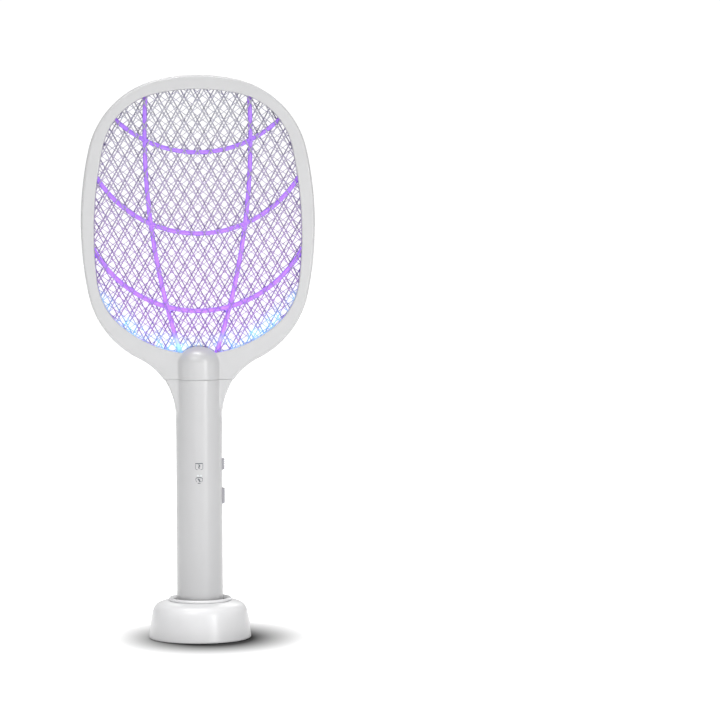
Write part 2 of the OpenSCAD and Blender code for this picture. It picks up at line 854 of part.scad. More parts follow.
module micro_plug_body() {
    color(lead_white) difference() {
        union() {
            plug_block(0, plug_nose, 52, inlet_z, 9.8, 7, 2);
            plug_block(0, 51.9, 55, inlet_z, 8, 6, 2);
            translate([0, 54.9, inlet_z]) rotate([-90, 0, 0])
                cylinder(h = plug_end - 54.9, r1 = 2.9, r2 = 2.3, $fn = 32);
        }
        plug_block(0, plug_nose - 1, plug_nose + 1.05, inlet_z, 6.95, 1.9, 0.5);
    }
}

module lead_run_in() {
    color(lead_white) tube(run_in, lead_d / 2);
}

module lead_coil() {
    color(lead_white) translate([coil_x, coil_y, coil_lift]) rotate_extrude($fn = 72)
        translate([coil_r - lead_d / 2, 0]) square([lead_d, 2 * lead_d]);
}

module lead_run_out() {
    color(lead_white) tube(run_out, lead_d / 2, [0, 0, 1]);
}

module lead_tie() {
    color(chip_black) translate([coil_x - 1.5, coil_y + coil_r, 0]) difference() {
        box([0, -lead_d / 2 - 0.7, 0], [3, lead_d / 2 + 0.7, coil_lift + 2 * lead_d + 0.6]);
        box([-1, -lead_d / 2 - 0.25, coil_lift - 0.1],
            [4, lead_d / 2 + 0.25, coil_lift + 2 * lead_d + 0.1]);
    }
}

module usb_plug_body() {
    color(lead_white) difference() {
        union() {
            plug_block(usb_x, usb_y - 22, usb_y - 6, usb_z, 15, 8, 2);
            translate([usb_x, usb_y - 6.1, usb_z]) rotate([-90, 0, 0])
                cylinder(h = 6.1, r1 = 2.8, r2 = 2.3, $fn = 32);
        }
        plug_block(usb_x, usb_y - 23, usb_y - 21, usb_z, 12.1, 4.6, 0.4);
    }
}

module usb_plug_shell() {
    color(tin) difference() {
        plug_block(usb_x, usb_y - 34, usb_y - 21.05, usb_z, 12, 4.5, 0.4);
        box([usb_x - 5.6, usb_y - 35, usb_z - 0.1], [usb_x + 5.6, usb_y - 24, usb_z + 1.9]);
    }
}

stand_shell();
socket_cup();
stand_plate();
stand_feet();
stand_screws();
ballast_ring();
stand_board();
usb_inlet();
pin_housing();
pin_left();
pin_right();
pin_spring_left();
pin_spring_right();
head_front();
head_rear();
front_net();
inner_net();
rear_net();
front_ribs();
rear_ribs();
lure_board();
lure_lamps();
head_screws();
handle_front();
handle_rear();
handle_cap();
contact_pads();
battery_cell();
battery_cradle();
battery_contacts();
main_board();
board_chips();
hv_transformer();
hv_capacitors();
slide_switch();
tact_switch();
indicator_lamps();
light_guides();
charge_leads();
net_leads();
battery_leads();
handle_screws();
mode_knob();
zap_button();
micro_plug_shell();
micro_plug_body();
lead_run_in();
lead_coil();
lead_run_out();
lead_tie();
usb_plug_body();
usb_plug_shell();
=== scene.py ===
"""Electric fly swatter standing in its round charging stand, in metres, front facing -Y.

The pieces that show are surfaces worked out on grids and carried along paths. The pieces inside
the shells keep their own solids and only get a finish.
"""

import logging
from dataclasses import dataclass, field
from enum import Enum

import bmesh
import bpy
import numpy as np
from mathutils import Euler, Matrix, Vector


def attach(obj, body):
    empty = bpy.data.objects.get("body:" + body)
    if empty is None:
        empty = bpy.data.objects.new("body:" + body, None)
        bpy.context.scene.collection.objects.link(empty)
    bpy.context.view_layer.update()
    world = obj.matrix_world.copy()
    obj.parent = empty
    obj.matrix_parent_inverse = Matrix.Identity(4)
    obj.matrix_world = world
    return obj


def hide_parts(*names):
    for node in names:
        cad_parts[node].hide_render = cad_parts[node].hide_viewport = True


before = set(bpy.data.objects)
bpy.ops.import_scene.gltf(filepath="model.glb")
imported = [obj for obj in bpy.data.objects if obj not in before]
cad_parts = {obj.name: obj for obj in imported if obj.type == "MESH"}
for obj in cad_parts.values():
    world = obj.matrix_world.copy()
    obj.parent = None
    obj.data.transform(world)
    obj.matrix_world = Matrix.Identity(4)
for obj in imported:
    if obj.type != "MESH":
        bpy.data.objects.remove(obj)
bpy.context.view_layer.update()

LOG = logging.getLogger("fly_swatter")
MM = 0.001
DARK = (0.0, 0.0, 0.0, 1.0)
WHITE = (1.0, 1.0, 1.0, 1.0)
Point = tuple[float, float, float]
Pair = tuple[float, float]
Array = np.ndarray
Mesh = bpy.types.Mesh
Node = bpy.types.Node
Object = bpy.types.Object
Socket = bpy.types.NodeSocket
Tree = bpy.types.NodeTree


class Body(str, Enum):
    """The bodies that pieces ride on."""

    STAND = "stand"
    SWATTER = "swatter"
    KNOB = "knob"
    BUTTON = "button"
    LEAD = "lead"


class Side(float, Enum):
    """The two halves of the swatter, by the sign of their Y."""

    FRONT = -1.0
    REAR = 1.0


# ---------------------------------------------------------------- finishes


def linear(code: str) -> tuple[float, float, float, float]:
    """Turns an sRGB hex colour into linear light.

    Args:
        code: Six hex digits after a hash sign.

    Returns:
        Red, green, blue and an alpha of one.
    """
    parts = np.array([int(code[i:i + 2], 16) for i in (1, 3, 5)]) / 255.0
    light = np.where(parts <= 0.04045, parts / 12.92, ((parts + 0.055) / 1.055) ** 2.4)
    return (float(light[0]), float(light[1]), float(light[2]), 1.0)


def add(tree: Tree, kind: str, sockets: dict | None = None, **settings: object) -> Node:
    """Adds a shader node, with its settings, values and links.

    Args:
        tree: The material's or world's node tree.
        kind: The node's type without its "ShaderNode" prefix.
        sockets: For each input, by name or number, the value or the output that feeds it.
        **settings: The node's own properties.

    Returns:
        The new node.
    """
    node = tree.nodes.new("ShaderNode" + kind)
    for name, value in settings.items():
        setattr(node, name, value)
    for name, value in (sockets or {}).items():
        if isinstance(value, Socket):
            tree.links.new(value, node.inputs[name])
        else:
            node.inputs[name].default_value = value
    return node


def blend_of(tree: Tree, share: Socket, low: object, high: object) -> Socket:
    """Mixes two colours.

    Args:
        tree: The material's node tree.
        share: The output that says how much of the second colour shows.
        low: The first colour or an output.
        high: The second colour or an output.

    Returns:
        The mixed colour's output.
    """
    return add(tree, "Mix", {0: share, 6: low, 7: high}, data_type="RGBA").outputs[2]


def scale_of(size_mm: float) -> float:
    """Texture scale at which a blotch or cell is that many millimetres wide."""
    return 1.0 / (size_mm * MM)


def noise_of(tree: Tree, place: Socket, size_mm: float, detail: float = 2.0) -> Socket:
    """Output of a noise, from 0 to 1, whose blotches are that many millimetres wide."""
    return add(tree, "TexNoise", {"Vector": place, "Scale": scale_of(size_mm),
                                  "Detail": detail}).outputs[0]


def ranged(tree: Tree, value: Socket, low: float, high: float, at_low: float = 0.0,
           at_high: float = 1.0) -> Socket:
    """Output that goes evenly from at_low to at_high while a value goes from low to high."""
    return add(tree, "MapRange", {0: value, 1: low, 2: high, 3: at_low,
                                  4: at_high}).outputs[0]


def worked(tree: Tree, operation: str, *values: object) -> Socket:
    """Output of a sum, product or the like of some numbers and outputs."""
    return add(tree, "Math", dict(enumerate(values)), operation=operation).outputs[0]


@dataclass(frozen=True)
class Finish:
    """A plastic, rubber or metal whose colour, gloss and grain all vary a little.

    Two noises in Object coordinates: the wide one, cloud_mm across, moves the colour between
    the base and the shade and the gloss by gloss_play, and the fine one, grain_mm across,
    raises the surface by grain_depth_mm.
    """

    name: str
    base: str
    shade: str
    roughness: float = 0.4
    gloss_play: float = 0.06
    metallic: float = 0.0
    ior: float = 1.5
    grain_mm: float = 0.5
    grain_depth_mm: float = 0.01
    cloud_mm: float = 12.0
    stretch: Point = (1.0, 1.0, 1.0)
    sockets: tuple[tuple[str, object], ...] = ()

    def colour(self, tree: Tree, place: Socket) -> Socket:
        """Works out the surface's colour.

        Args:
            tree: The material's node tree.
            place: The output with the Object coordinates.

        Returns:
            The colour's output.
        """
        cloud = noise_of(tree, place, self.cloud_mm, 3.0)
        return blend_of(tree, cloud, linear(self.base), linear(self.shade))

    def dress(self, tree: Tree, shader: Node, place: Socket) -> None:
        """Adds what only one finish has, such as a glow.

        Args:
            tree: The material's node tree.
            shader: The material's surface shader.
            place: The output with the Object coordinates.
        """

    def material(self) -> bpy.types.Material:
        """Makes the material once and returns it from then on.

        Returns:
            The material.
        """
        known = bpy.data.materials.get(self.name)
        if known:
            return known
        made = bpy.data.materials.new(self.name)
        made.use_nodes = True
        tree = made.node_tree
        shader = tree.nodes["Principled BSDF"]
        place = add(tree, "TexCoord").outputs["Object"]
        drawn = add(tree, "Mapping", {"Vector": place, "Scale": self.stretch}).outputs[0]
        tree.links.new(self.colour(tree, place), shader.inputs["Base Color"])
        gloss = ranged(tree, noise_of(tree, drawn, self.cloud_mm / 2, 4.0), 0.0, 1.0,
                       self.roughness - self.gloss_play, self.roughness + self.gloss_play)
        tree.links.new(gloss, shader.inputs["Roughness"])
        bump = add(tree, "Bump", {"Height": noise_of(tree, drawn, self.grain_mm),
                                  "Strength": 1.0, "Distance": self.grain_depth_mm * MM})
        tree.links.new(bump.outputs[0], shader.inputs["Normal"])
        shader.inputs["Metallic"].default_value = self.metallic
        if self.metallic == 0.0:
            shader.inputs["IOR"].default_value = self.ior
        for name, value in self.sockets:
            shader.inputs[name].default_value = value
        self.dress(tree, shader, place)
        return made


@dataclass(frozen=True)
class LampLight:
    """How far up the head the lure lamps' light reaches, as heights above the floor.

    The sill rises by sill_bend times X squared, in metres, and the cyan light comes in patches
    patch_mm wide, which fade between the two shares of a noise in patch_edges.
    """

    lamps_z: float = 0.250
    cyan_end: float = 0.264
    violet_start: float = 0.276
    dark_start: float = 0.455
    sill_bend: float = 6.2
    patch_mm: float = 17.0
    patch_edges: Pair = (0.38, 0.6)

    def near_lamps(self, tree: Tree, place: Socket) -> Socket:
        """Share of lamp light at a place: one near the sill's lamps, none in the net's middle.

        The height over the sill falls off linearly, where the sill's height is a shallow
        parabola in X, and a noise as wide as the gap between lamps breaks it into patches.

        Args:
            tree: The material's node tree.
            place: The output with the Object coordinates.

        Returns:
            The share's output, from 0 to 1.
        """
        across, _, up = add(tree, "SeparateXYZ", {0: place}).outputs
        square = worked(tree, "MULTIPLY", across, across)
        sill = worked(tree, "MULTIPLY_ADD", square, self.sill_bend, self.lamps_z)
        height = worked(tree, "SUBTRACT", up, sill)
        share = ranged(tree, height, 0.0, self.cyan_end - self.lamps_z, 1.0, 0.0)
        patches = ranged(tree, noise_of(tree, place, self.patch_mm), *self.patch_edges)
        return worked(tree, "MULTIPLY", share, patches)

    def violet(self, tree: Tree, place: Socket) -> Socket:
        """Share of violet light at a height: full low down, none at the head's top.

        Args:
            tree: The material's node tree.
            place: The output with the Object coordinates.

        Returns:
            The share's output, from 0 to 1.
        """
        height = add(tree, "SeparateXYZ", {0: place}).outputs[2]
        return ranged(tree, height, self.violet_start, self.dark_start, 1.0, 0.0)


@dataclass(frozen=True)
class LitWire(Finish):
    """Wire that picks up the lamps' light: grey at the top, violet lower, cyan at the sill."""

    lit: str = "#9a6ad8"
    lamp: str = "#90c6e6"
    glow: float = 0.35
    light: LampLight = LampLight()

    def colour(self, tree: Tree, place: Socket) -> Socket:
        """Lays the violet and the cyan light over the wire's own colour."""
        return self.lit_over(tree, place, super().colour(tree, place))

    def lit_over(self, tree: Tree, place: Socket, own: object) -> Socket:
        """Lays the violet light over a colour, then the cyan light over both."""
        violet = blend_of(tree, self.light.violet(tree, place), own, linear(self.lit))
        return blend_of(tree, self.light.near_lamps(tree, place), violet, linear(self.lamp))

    def dress(self, tree: Tree, shader: Node, place: Socket) -> None:
        """Makes the wire glow as strongly as the light that falls on it."""
        light = self.lit_over(tree, place, DARK)
        tree.links.new(light, shader.inputs["Emission Color"])
        shader.inputs["Emission Strength"].default_value = self.glow


@dataclass(frozen=True)
class LitRib(LitWire):
    """Clear violet plastic that carries the lamps' light along itself."""

    glow: float = 0.4


@dataclass(frozen=True)
class BoardLaminate(Finish):
    """Green solder mask over copper tracks about 1.2 mm apart."""

    track: str = "#3f8a58"
    pitch_mm: float = 1.2

    def colour(self, tree: Tree, place: Socket) -> Socket:
        """Draws the tracks as the edges between square cells."""
        own = super().colour(tree, place)
        cells = add(tree, "TexBrick", {"Vector": place, "Scale": scale_of(self.pitch_mm) / 2,
                                       "Color1": DARK, "Color2": DARK, "Mortar": WHITE,
                                       "Mortar Size": 0.06})
        return blend_of(tree, cells.outputs[0], own, linear(self.track))


class Finishes:
    """Every finish of the swatter and its stand."""

    # Acrylonitrile butadiene styrene, injection moulded in a spark-eroded mould: a light grey
    # satin skin with a grain too fine to see, drawn 0.6 mm wide so that it still shows
    SHELL = Finish("abs_moulded_satin_grey", "#a4a4a5", "#a0a0a1", roughness=0.34,
                   grain_mm=0.6, grain_depth_mm=0.006, cloud_mm=30.0,
                   sockets=(("Coat Weight", 0.25), ("Coat Roughness", 0.2)))
    # The same plastic from a polished mould: whiter, with broad soft reflections
    STAND = Finish("abs_moulded_gloss_white", "#cacacb", "#c6c6c7", roughness=0.36,
                   grain_mm=1.5, grain_depth_mm=0.004, cloud_mm=25.0,
                   sockets=(("Coat Weight", 0.25), ("Coat Roughness", 0.22)))
    # Knob and button come from the polished mould too, a shade greyer against the handle
    CONTROL = Finish("abs_moulded_control_grey", "#8f8f94", "#88888d", roughness=0.3,
                     grain_mm=0.8, grain_depth_mm=0.006, cloud_mm=6.0)
    # Clear polycarbonate tinted violet, moulded: light from the lamps runs along inside it
    RIB = LitRib("polycarbonate_moulded_violet", "#9a6cd8", "#8456c4", roughness=0.3, ior=1.58,
                 grain_mm=0.9, grain_depth_mm=0.01, cloud_mm=9.0, lit="#9b62e6", lamp="#8fc8ff",
                 sockets=(("Subsurface Weight", 0.25), ("Subsurface Radius", (0.4, 0.2, 0.6)),
                          ("Subsurface Scale", 0.002)))
    # Drawn steel wire, lacquered: thin lines that read grey against a white room
    GUARD = LitWire("steel_drawn_lacquered_wire", "#9c9ca5", "#8a8a94", roughness=0.4,
                    metallic=0.2, grain_mm=0.4, grain_depth_mm=0.004, cloud_mm=5.0,
                    lit="#906cae", glow=0.04)
    # Bare nickelled wire of the charged net: lighter and finer than the guards' wire
    CHARGED = LitWire("steel_drawn_nickelled_wire", "#b4b4bd", "#a2a2ab", roughness=0.3,
                      metallic=0.4, grain_mm=0.3, grain_depth_mm=0.003, cloud_mm=5.0,
                      lit="#a88abf", glow=0.06)
    # Mild steel, rolled and zinc plated: bright, with faint streaks along the sheet
    STEEL = Finish("steel_rolled_zinc_plated", "#b9bbbf", "#a3a6ab", roughness=0.28,
                   metallic=1.0, grain_mm=0.5, grain_depth_mm=0.004, cloud_mm=4.0,
                   stretch=(1.0, 1.0, 0.15))
    # Brass, turned and left bare: warm yellow with slight tarnish clouds
    BRASS = Finish("brass_turned_bare", "#c9a35a", "#a8823f", roughness=0.26, metallic=1.0,
                   grain_mm=0.3, grain_depth_mm=0.004, cloud_mm=3.0)
    # Glass epoxy laminate under green solder mask, with its tracks showing through
    BOARD = BoardLaminate("epoxy_laminate_solder_mask", "#1f5c38", "#184c2e", roughness=0.3,
                          grain_mm=0.4, grain_depth_mm=0.01, cloud_mm=8.0)
    # Nylon, moulded black: dull, with a visible moulded grain
    BLACK = Finish("nylon_moulded_black", "#1c1c1e", "#242427", roughness=0.5, grain_mm=0.5,
                   grain_depth_mm=0.02, cloud_mm=5.0)
    # Epoxy lens of a lamp, cast clear, lit from inside with a cold white-blue light
    LAMP = Finish("epoxy_cast_lamp_lens", "#e8f8ff", "#c8f0ff", roughness=0.12, ior=1.54,
                  grain_mm=0.4, grain_depth_mm=0.002, cloud_mm=2.0,
                  sockets=(("Emission Color", linear("#bfefff")), ("Emission Strength", 4.0)))
    # Acrylic light guide, moulded: milky at its face, so the dot looks pale while unlit
    GUIDE = Finish("acrylic_moulded_light_guide", "#c2c6c8", "#b2b6b8", roughness=0.2, ior=1.49,
                   grain_mm=0.4, grain_depth_mm=0.004, cloud_mm=1.5)
    # Silicone rubber, moulded: dark grey and quite matt
    RUBBER = Finish("silicone_moulded_feet", "#2e2e30", "#39393b", roughness=0.7, ior=1.43,
                    grain_mm=0.7, grain_depth_mm=0.03, cloud_mm=6.0)
    # Vinyl shrink sleeve round the cell, printed one blue: gloss with shrink ripples
    WRAP = Finish("vinyl_shrunk_blue_sleeve", "#2f5f9e", "#274f86", roughness=0.25,
                  grain_mm=6.0, grain_depth_mm=0.05, cloud_mm=18.0, stretch=(1.0, 1.0, 3.0))
    # Enamelled copper wire wound in layers 0.3 mm apart, drawn 0.6 mm so that it shows
    WINDING = Finish("copper_wound_enamelled", "#8a4a22", "#6e3716", roughness=0.3,
                     metallic=0.7, grain_mm=0.6, grain_depth_mm=0.12, cloud_mm=5.0,
                     stretch=(0.1, 0.1, 1.0))
    # Polyester film capacitors dipped in epoxy: orange brown with a wet gloss
    FILM = Finish("epoxy_dipped_capacitor", "#a8522a", "#964722", roughness=0.22, grain_mm=2.5,
                  grain_depth_mm=0.05, cloud_mm=5.0)
    # Stranded leads in coloured vinyl, extruded: satin, the strands faintly felt through it
    RED_WIRE = Finish("vinyl_extruded_red", "#b02020", "#981a1a", roughness=0.38, grain_mm=0.8,
                      grain_depth_mm=0.02, cloud_mm=6.0)
    BLACK_WIRE = Finish("vinyl_extruded_black", "#1b1b1b", "#262626", roughness=0.38,
                        grain_mm=0.8, grain_depth_mm=0.02, cloud_mm=6.0)
    WHITE_WIRE = Finish("vinyl_extruded_white", "#e2e2e0", "#d6d6d4", roughness=0.38,
                        grain_mm=0.8, grain_depth_mm=0.02, cloud_mm=6.0)
    # Soft white vinyl of the charging lead, extruded: satin, faintly wavy along its length
    LEAD = Finish("vinyl_extruded_lead_jacket", "#ececec", "#e2e2e3", roughness=0.36,
                  grain_mm=3.0, grain_depth_mm=0.04, cloud_mm=14.0,
                  sockets=(("Subsurface Weight", 0.1), ("Subsurface Scale", 0.001)))
    # Pad-printed ink on the handle: flat dark grey with thin spots
    INK = Finish("ink_pad_printed_grey", "#3a4044", "#4c5256", roughness=0.55, grain_mm=0.3,
                 grain_depth_mm=0.003, cloud_mm=0.8)
    # Cast iron, tumbled: dull grey with a pitted skin
    IRON = Finish("iron_cast_ballast", "#6b6b6e", "#58585b", roughness=0.55, metallic=0.9,
                  grain_mm=1.0, grain_depth_mm=0.08, cloud_mm=6.0)


# ---------------------------------------------------------------- surfaces


def placed(name: str, data: bpy.types.ID) -> Object:
    """Makes an object of its data and puts it in the scene."""
    made = bpy.data.objects.new(name, data)
    bpy.context.scene.collection.objects.link(made)
    return made


def facing(place: Point, aim: Point) -> Euler:
    """Turn of a camera or light that looks from one point at another."""
    return (Vector(aim) - Vector(place)).to_track_quat("-Z", "Y").to_euler()


def turn_outwards(mesh: Mesh) -> None:
    """Turns the faces of a mesh whose parts are all closed outwards."""
    work = bmesh.new()
    work.from_mesh(mesh)
    bmesh.ops.recalc_face_normals(work, faces=work.faces)
    work.to_mesh(mesh)
    work.free()


@dataclass
class Skin:
    """Collects grids of points and turns them into one mesh."""

    points: list[Array] = field(default_factory=list)
    quads: list[Array] = field(default_factory=list)
    count: int = 0

    def grid(self, points: Array, around: bool = False, keep: Array | None = None,
             outward: Point | None = None) -> "Skin":
        """Adds a grid of points, with a quad between each four neighbours.

        A quad at row i and column j joins points (i, j), (i, j+1), (i+1, j+1) and (i+1, j).
        Where the quads face on average towards the inner point given, they are all turned.

        Args:
            points: Rows by columns by three coordinates, in metres.
            around: Whether the last column joins the first.
            keep: Rows by columns of the quads, true where the quad is wanted.
            outward: A point on the inner side, which the faces look away from.

        Returns:
            The skin itself.
        """
        rows, cols = points.shape[:2]
        index = np.arange(rows * cols).reshape(rows, cols)
        if around:
            index = np.concatenate([index, index[:, :1]], axis=1)
        quads = np.stack([index[:-1, :-1], index[:-1, 1:], index[1:, 1:], index[1:, :-1]],
                         axis=-1)
        quads = quads.reshape(-1, 4) if keep is None else quads[keep]
        flat = points.reshape(-1, 3)
        if outward is not None:
            corners = flat[quads]
            normals = np.cross(corners[:, 2] - corners[:, 0], corners[:, 3] - corners[:, 1])
            away = corners.mean(axis=1) - np.array(outward)
            if np.einsum("ij,ij->", normals, away) < 0:
                quads = quads[:, ::-1]
        self.points.append(flat)
        self.quads.append(quads + self.count)
        self.count += len(flat)
        return self

    def mesh(self, name: str) -> Mesh:
        """Makes the mesh, with seams and poles merged and no flat quads left.

        Args:
            name: The mesh's name.

        Returns:
            The mesh.
        """
        mesh = bpy.data.meshes.new(name)
        mesh.from_pydata(np.concatenate(self.points).tolist(), [],
                         np.concatenate(self.quads).tolist())
        work = bmesh.new()
        work.from_mesh(mesh)
        bmesh.ops.remove_doubles(work, verts=work.verts, dist=1e-6)
        loose = [v for v in work.verts if not v.link_faces]
        bmesh.ops.delete(work, geom=loose, context="VERTS")
        work.to_mesh(mesh)
        work.free()
        return mesh

    def piece(self, name: str, finish: Finish, body: Body, slot: str, nodes: tuple[str, ...] = (),
              corner: float = 40.0, wall: float = 0.0, closed: bool = False) -> Object:
        """Makes the object, finishes it, hangs it on its body and hides the CAD nodes it stands
        for.

        Args:
            name: The piece's name.
            finish: What it is made of.
            body: The body that it moves with.
            slot: Not used.
            nodes: The CAD nodes that it stands for.
            corner: Edges sharper than this many degrees stay sharp.
            wall: Wall thickness that an open skin is given inwards, in metres.
            closed: Whether its parts are all closed, so that their faces can be turned out.

        Returns:
            The object.
        """
        mesh = self.mesh(name)
        mesh.materials.append(finish.material())
        mesh.shade_smooth()
        mesh.set_sharp_from_angle(angle=float(np.radians(corner)))
        made = placed(name, mesh)
        if wall:
            shell = made.modifiers.new("wall", "SOLIDIFY")
            shell.thickness = wall
            shell.offset = -1.0
        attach(made, body.value)
        if closed:
            turn_outwards(mesh)
        if nodes:
            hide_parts(*nodes)
        LOG.info("%s: %d faces", name, len(mesh.polygons))
        return made


def cut_away(piece: Object, cutter: Skin) -> None:
    """Cuts bores and pockets out of a walled piece and keeps the result as its mesh.

    Args:
        piece: The piece, whose modifiers are applied first.
        cutter: Closed shapes to take away.
    """
    tool = placed("cutter", cutter.mesh("cutter"))
    change = piece.modifiers.new("bores", "BOOLEAN")
    change.operation = "DIFFERENCE"
    change.object = tool
    change.solver = "EXACT"
    graph = bpy.context.evaluated_depsgraph_get()
    cut = bpy.data.meshes.new_from_object(piece.evaluated_get(graph))
    piece.modifiers.clear()
    piece.data = cut
    bpy.data.objects.remove(tool)


def unit(vectors: Array) -> Array:
    """Each vector shortened or lengthened to one."""
    return vectors / np.linalg.norm(vectors, axis=-1, keepdims=True)


def swept(path: Array, section: Array, side: Array, scale: Array | None = None) -> Array:
    """Carries a flat section along a path, square to it, and closes both ends.

    Point (i, j) is path i plus the section's first coordinate times the side direction, made
    square to the path there, plus its second times the direction square to both. A last row
    at each end shrinks to the path.

    Args:
        path: The path's points.
        section: The section's points, as distances along the side and square to it.
        side: The side direction, one for all or one for each path point.
        scale: Size of the section at each path point.

    Returns:
        Rows along the path by columns round the section.
    """
    along = unit(np.gradient(path, axis=0))
    across = np.broadcast_to(side, path.shape)
    across = unit(across - (across * along).sum(axis=1, keepdims=True) * along)
    up = np.cross(along, across)
    size = np.ones(len(path)) if scale is None else scale
    rings = (path[:, None] + size[:, None, None]
             * (section[:, 0, None] * across[:, None] + section[:, 1, None] * up[:, None]))
    first = np.broadcast_to(path[:1, None], rings[:1].shape)
    last = np.broadcast_to(path[-1:, None], rings[-1:].shape)
    return np.concatenate([first, rings, last])


def disc(radius: float, sides: int) -> Array:
    """Points of a circle, anticlockwise."""
    turn = np.arange(sides) * 2 * np.pi / sides
    return radius * np.stack([np.cos(turn), np.sin(turn)], axis=1)


def soft_box(width: float, height: float, corner: float, steps: int = 4) -> Array:
    """Points of a rectangle with round corners, anticlockwise.

    Each corner is a quarter circle of that radius, in steps equal turns.

    Args:
        width: Size along the first axis.
        height: Size along the second axis.
        corner: Corner radius.
        steps: Turns in each corner.

    Returns:
        The points.
    """
    turn = np.linspace(0, np.pi / 2, steps + 1)
    round_part = corner * np.stack([np.cos(turn), np.sin(turn)], axis=1)
    middle = np.array([width / 2 - corner, height / 2 - corner])
    corners = []
    for quarter, signs in enumerate([(1, 1), (-1, 1), (-1, -1), (1, -1)]):
        c, s = np.cos(quarter * np.pi / 2), np.sin(quarter * np.pi / 2)
        turned = round_part @ np.array([[c, s], [-s, c]])
        corners.append(turned + middle * np.array(signs))
    return np.concatenate(corners)


def revolved(profile: Array, sides: int) -> Array:
    """Turns a profile of radius and height once round Z.

    Args:
        profile: Rows of radius and height.
        sides: Columns round.

    Returns:
        Rows along the profile by columns round.
    """
    turn = np.arange(sides) * 2 * np.pi / sides
    x = profile[:, :1] * np.cos(turn)
    y = profile[:, :1] * np.sin(turn)
    return np.stack([x, y, np.broadcast_to(profile[:, 1:], x.shape)], axis=-1)


def eased(points: Array, steps: int) -> Array:
    """Runs a smooth curve through points: a Catmull-Rom cubic between each two of them.

    Between points b and c the curve is b + t/2 (c-a) + t^2 (a - 5b/2 + 2c - d/2)
    + t^3/2 (3b - a - 3c + d), with a and d the neighbours before and after.

    Args:
        points: The points, at least two.
        steps: Parts that each stretch is cut into.

    Returns:
        The curve's points, its last one included.
    """
    wide = np.concatenate([[2 * points[0] - points[1]], points,
                           [2 * points[-1] - points[-2]]])
    t = (np.arange(steps) / steps)[None, :, None]
    a, b, c, d = (wide[i:len(wide) - 3 + i, None] for i in range(4))
    curve = (b + t / 2 * (c - a) + t ** 2 * (a - 2.5 * b + 2 * c - d / 2)
             + t ** 3 / 2 * (3 * b - a - 3 * c + d))
    return np.concatenate([curve.reshape(-1, points.shape[1]), points[-1:]])


def smooth_higher(a: Array, b: Array, reach: float) -> Array:
    """The higher of two surfaces, with the crease between them filled to a fillet.

    Where their difference d is less than reach, the result is their mean plus
    (d^2 + reach^2) / (4 reach), a parabola that joins both smoothly.

    Args:
        a: The first height.
        b: The second height.
        reach: Difference in height at which the fillet begins.

    Returns:
        The height.
    """
    near = np.clip(reach - np.abs(a - b), 0, None) / reach
    return np.maximum(a, b) + near ** 2 * reach / 4


def stood(flat: Array, y: float) -> Array:
    """Stands points of X and Z up in the plane at that Y."""
    return np.stack([flat[:, 0], np.full(len(flat), y), flat[:, 1]], axis=1)


def bore(piece: Object, rods: list[tuple[Point, Point]], radius: float) -> None:
    """Cuts round bores out of a piece.

    Args:
        piece: The piece.
        rods: Middle of each bore's two ends.
        radius: Their radius.
    """
    bores = Skin()
    for rod in rods:
        path = np.array(rod)
        bores.grid(swept(path, disc(radius, 32), np.array([1.0, 0.0, 0.0])), around=True,
                   outward=tuple(path.mean(axis=0)))
    cut_away(piece, bores)


# ---------------------------------------------------------------- outline


@dataclass(frozen=True)
class ArcShape:
    """An outline made of arcs that starts level at its top and turns on to the right."""

    top: float
    arcs: tuple[Pair, ...]

    @property
    def turns(self) -> Array:
        """Heading in degrees where each arc starts, and where the last one ends."""
        return np.concatenate([[0.0], np.cumsum([turn for _, turn in self.arcs])])

    @property
    def radii(self) -> Array:
        """Radius of each arc, in metres."""
        return np.array([radius for radius, _ in self.arcs])

    @property
    def centres(self) -> Array:
        """Centre of each arc: the end of the last one less the new radius along its normal."""
        centres = []
        end = np.array([0.0, self.top])
        for radius, start, stop in zip(self.radii, self.turns[:-1], self.turns[1:]):
            centre = end - radius * heading_normal(start)
            centres.append(centre)
            end = centre + radius * heading_normal(stop)
        return np.array(centres)

    def at(self, heading: Array, inset: float | Array = 0.0) -> Array:
        """Points of the outline, drawn in by a distance.

        Args:
            heading: Headings in degrees, from 0 at the top to the last arc's end.
            inset: Distance that the outline is drawn in, below zero to grow it.

        Returns:
            Rows of X and Z.
        """
        arc = np.clip(np.searchsorted(self.turns, heading, side="right") - 1, 0,
                      len(self.arcs) - 1)
        reach = (self.radii[arc] - inset)[..., None]
        return self.centres[arc] + reach * heading_normal(heading)

    def evenly(self, start: float, stop: float, count: int) -> Array:
        """Headings at equal lengths along the outline.

        Args:
            start: First heading in degrees.
            stop: Last heading in degrees.
            count: Number of headings.

        Returns:
            The headings.
        """
        lengths = np.concatenate([[0], np.cumsum(self.radii * np.radians(np.diff(self.turns)))])
        ends = np.interp([start, stop], self.turns, lengths)
        return np.interp(np.linspace(*ends, count), lengths, self.turns)

    def ring(self, count: int, grow: float = 0.0) -> Array:
        """The whole closed outline, right half and its mirror image.

        Args:
            count: Points in the right half, both its ends included.
            grow: Distance outwards.

        Returns:
            Rows of X and Z, clockwise from the top as seen from the front.
        """
        right = self.at(self.evenly(0, self.turns[-1], count), -grow)
        return np.concatenate([right, right[-2:0:-1] * [-1, 1]])


def heading_normal(heading: float | Array) -> Array:
    """Outward direction in X and Z where the outline has turned by that many degrees."""
    angle = np.radians(heading)
    return np.stack([np.sin(angle), np.cos(angle)], axis=-1)


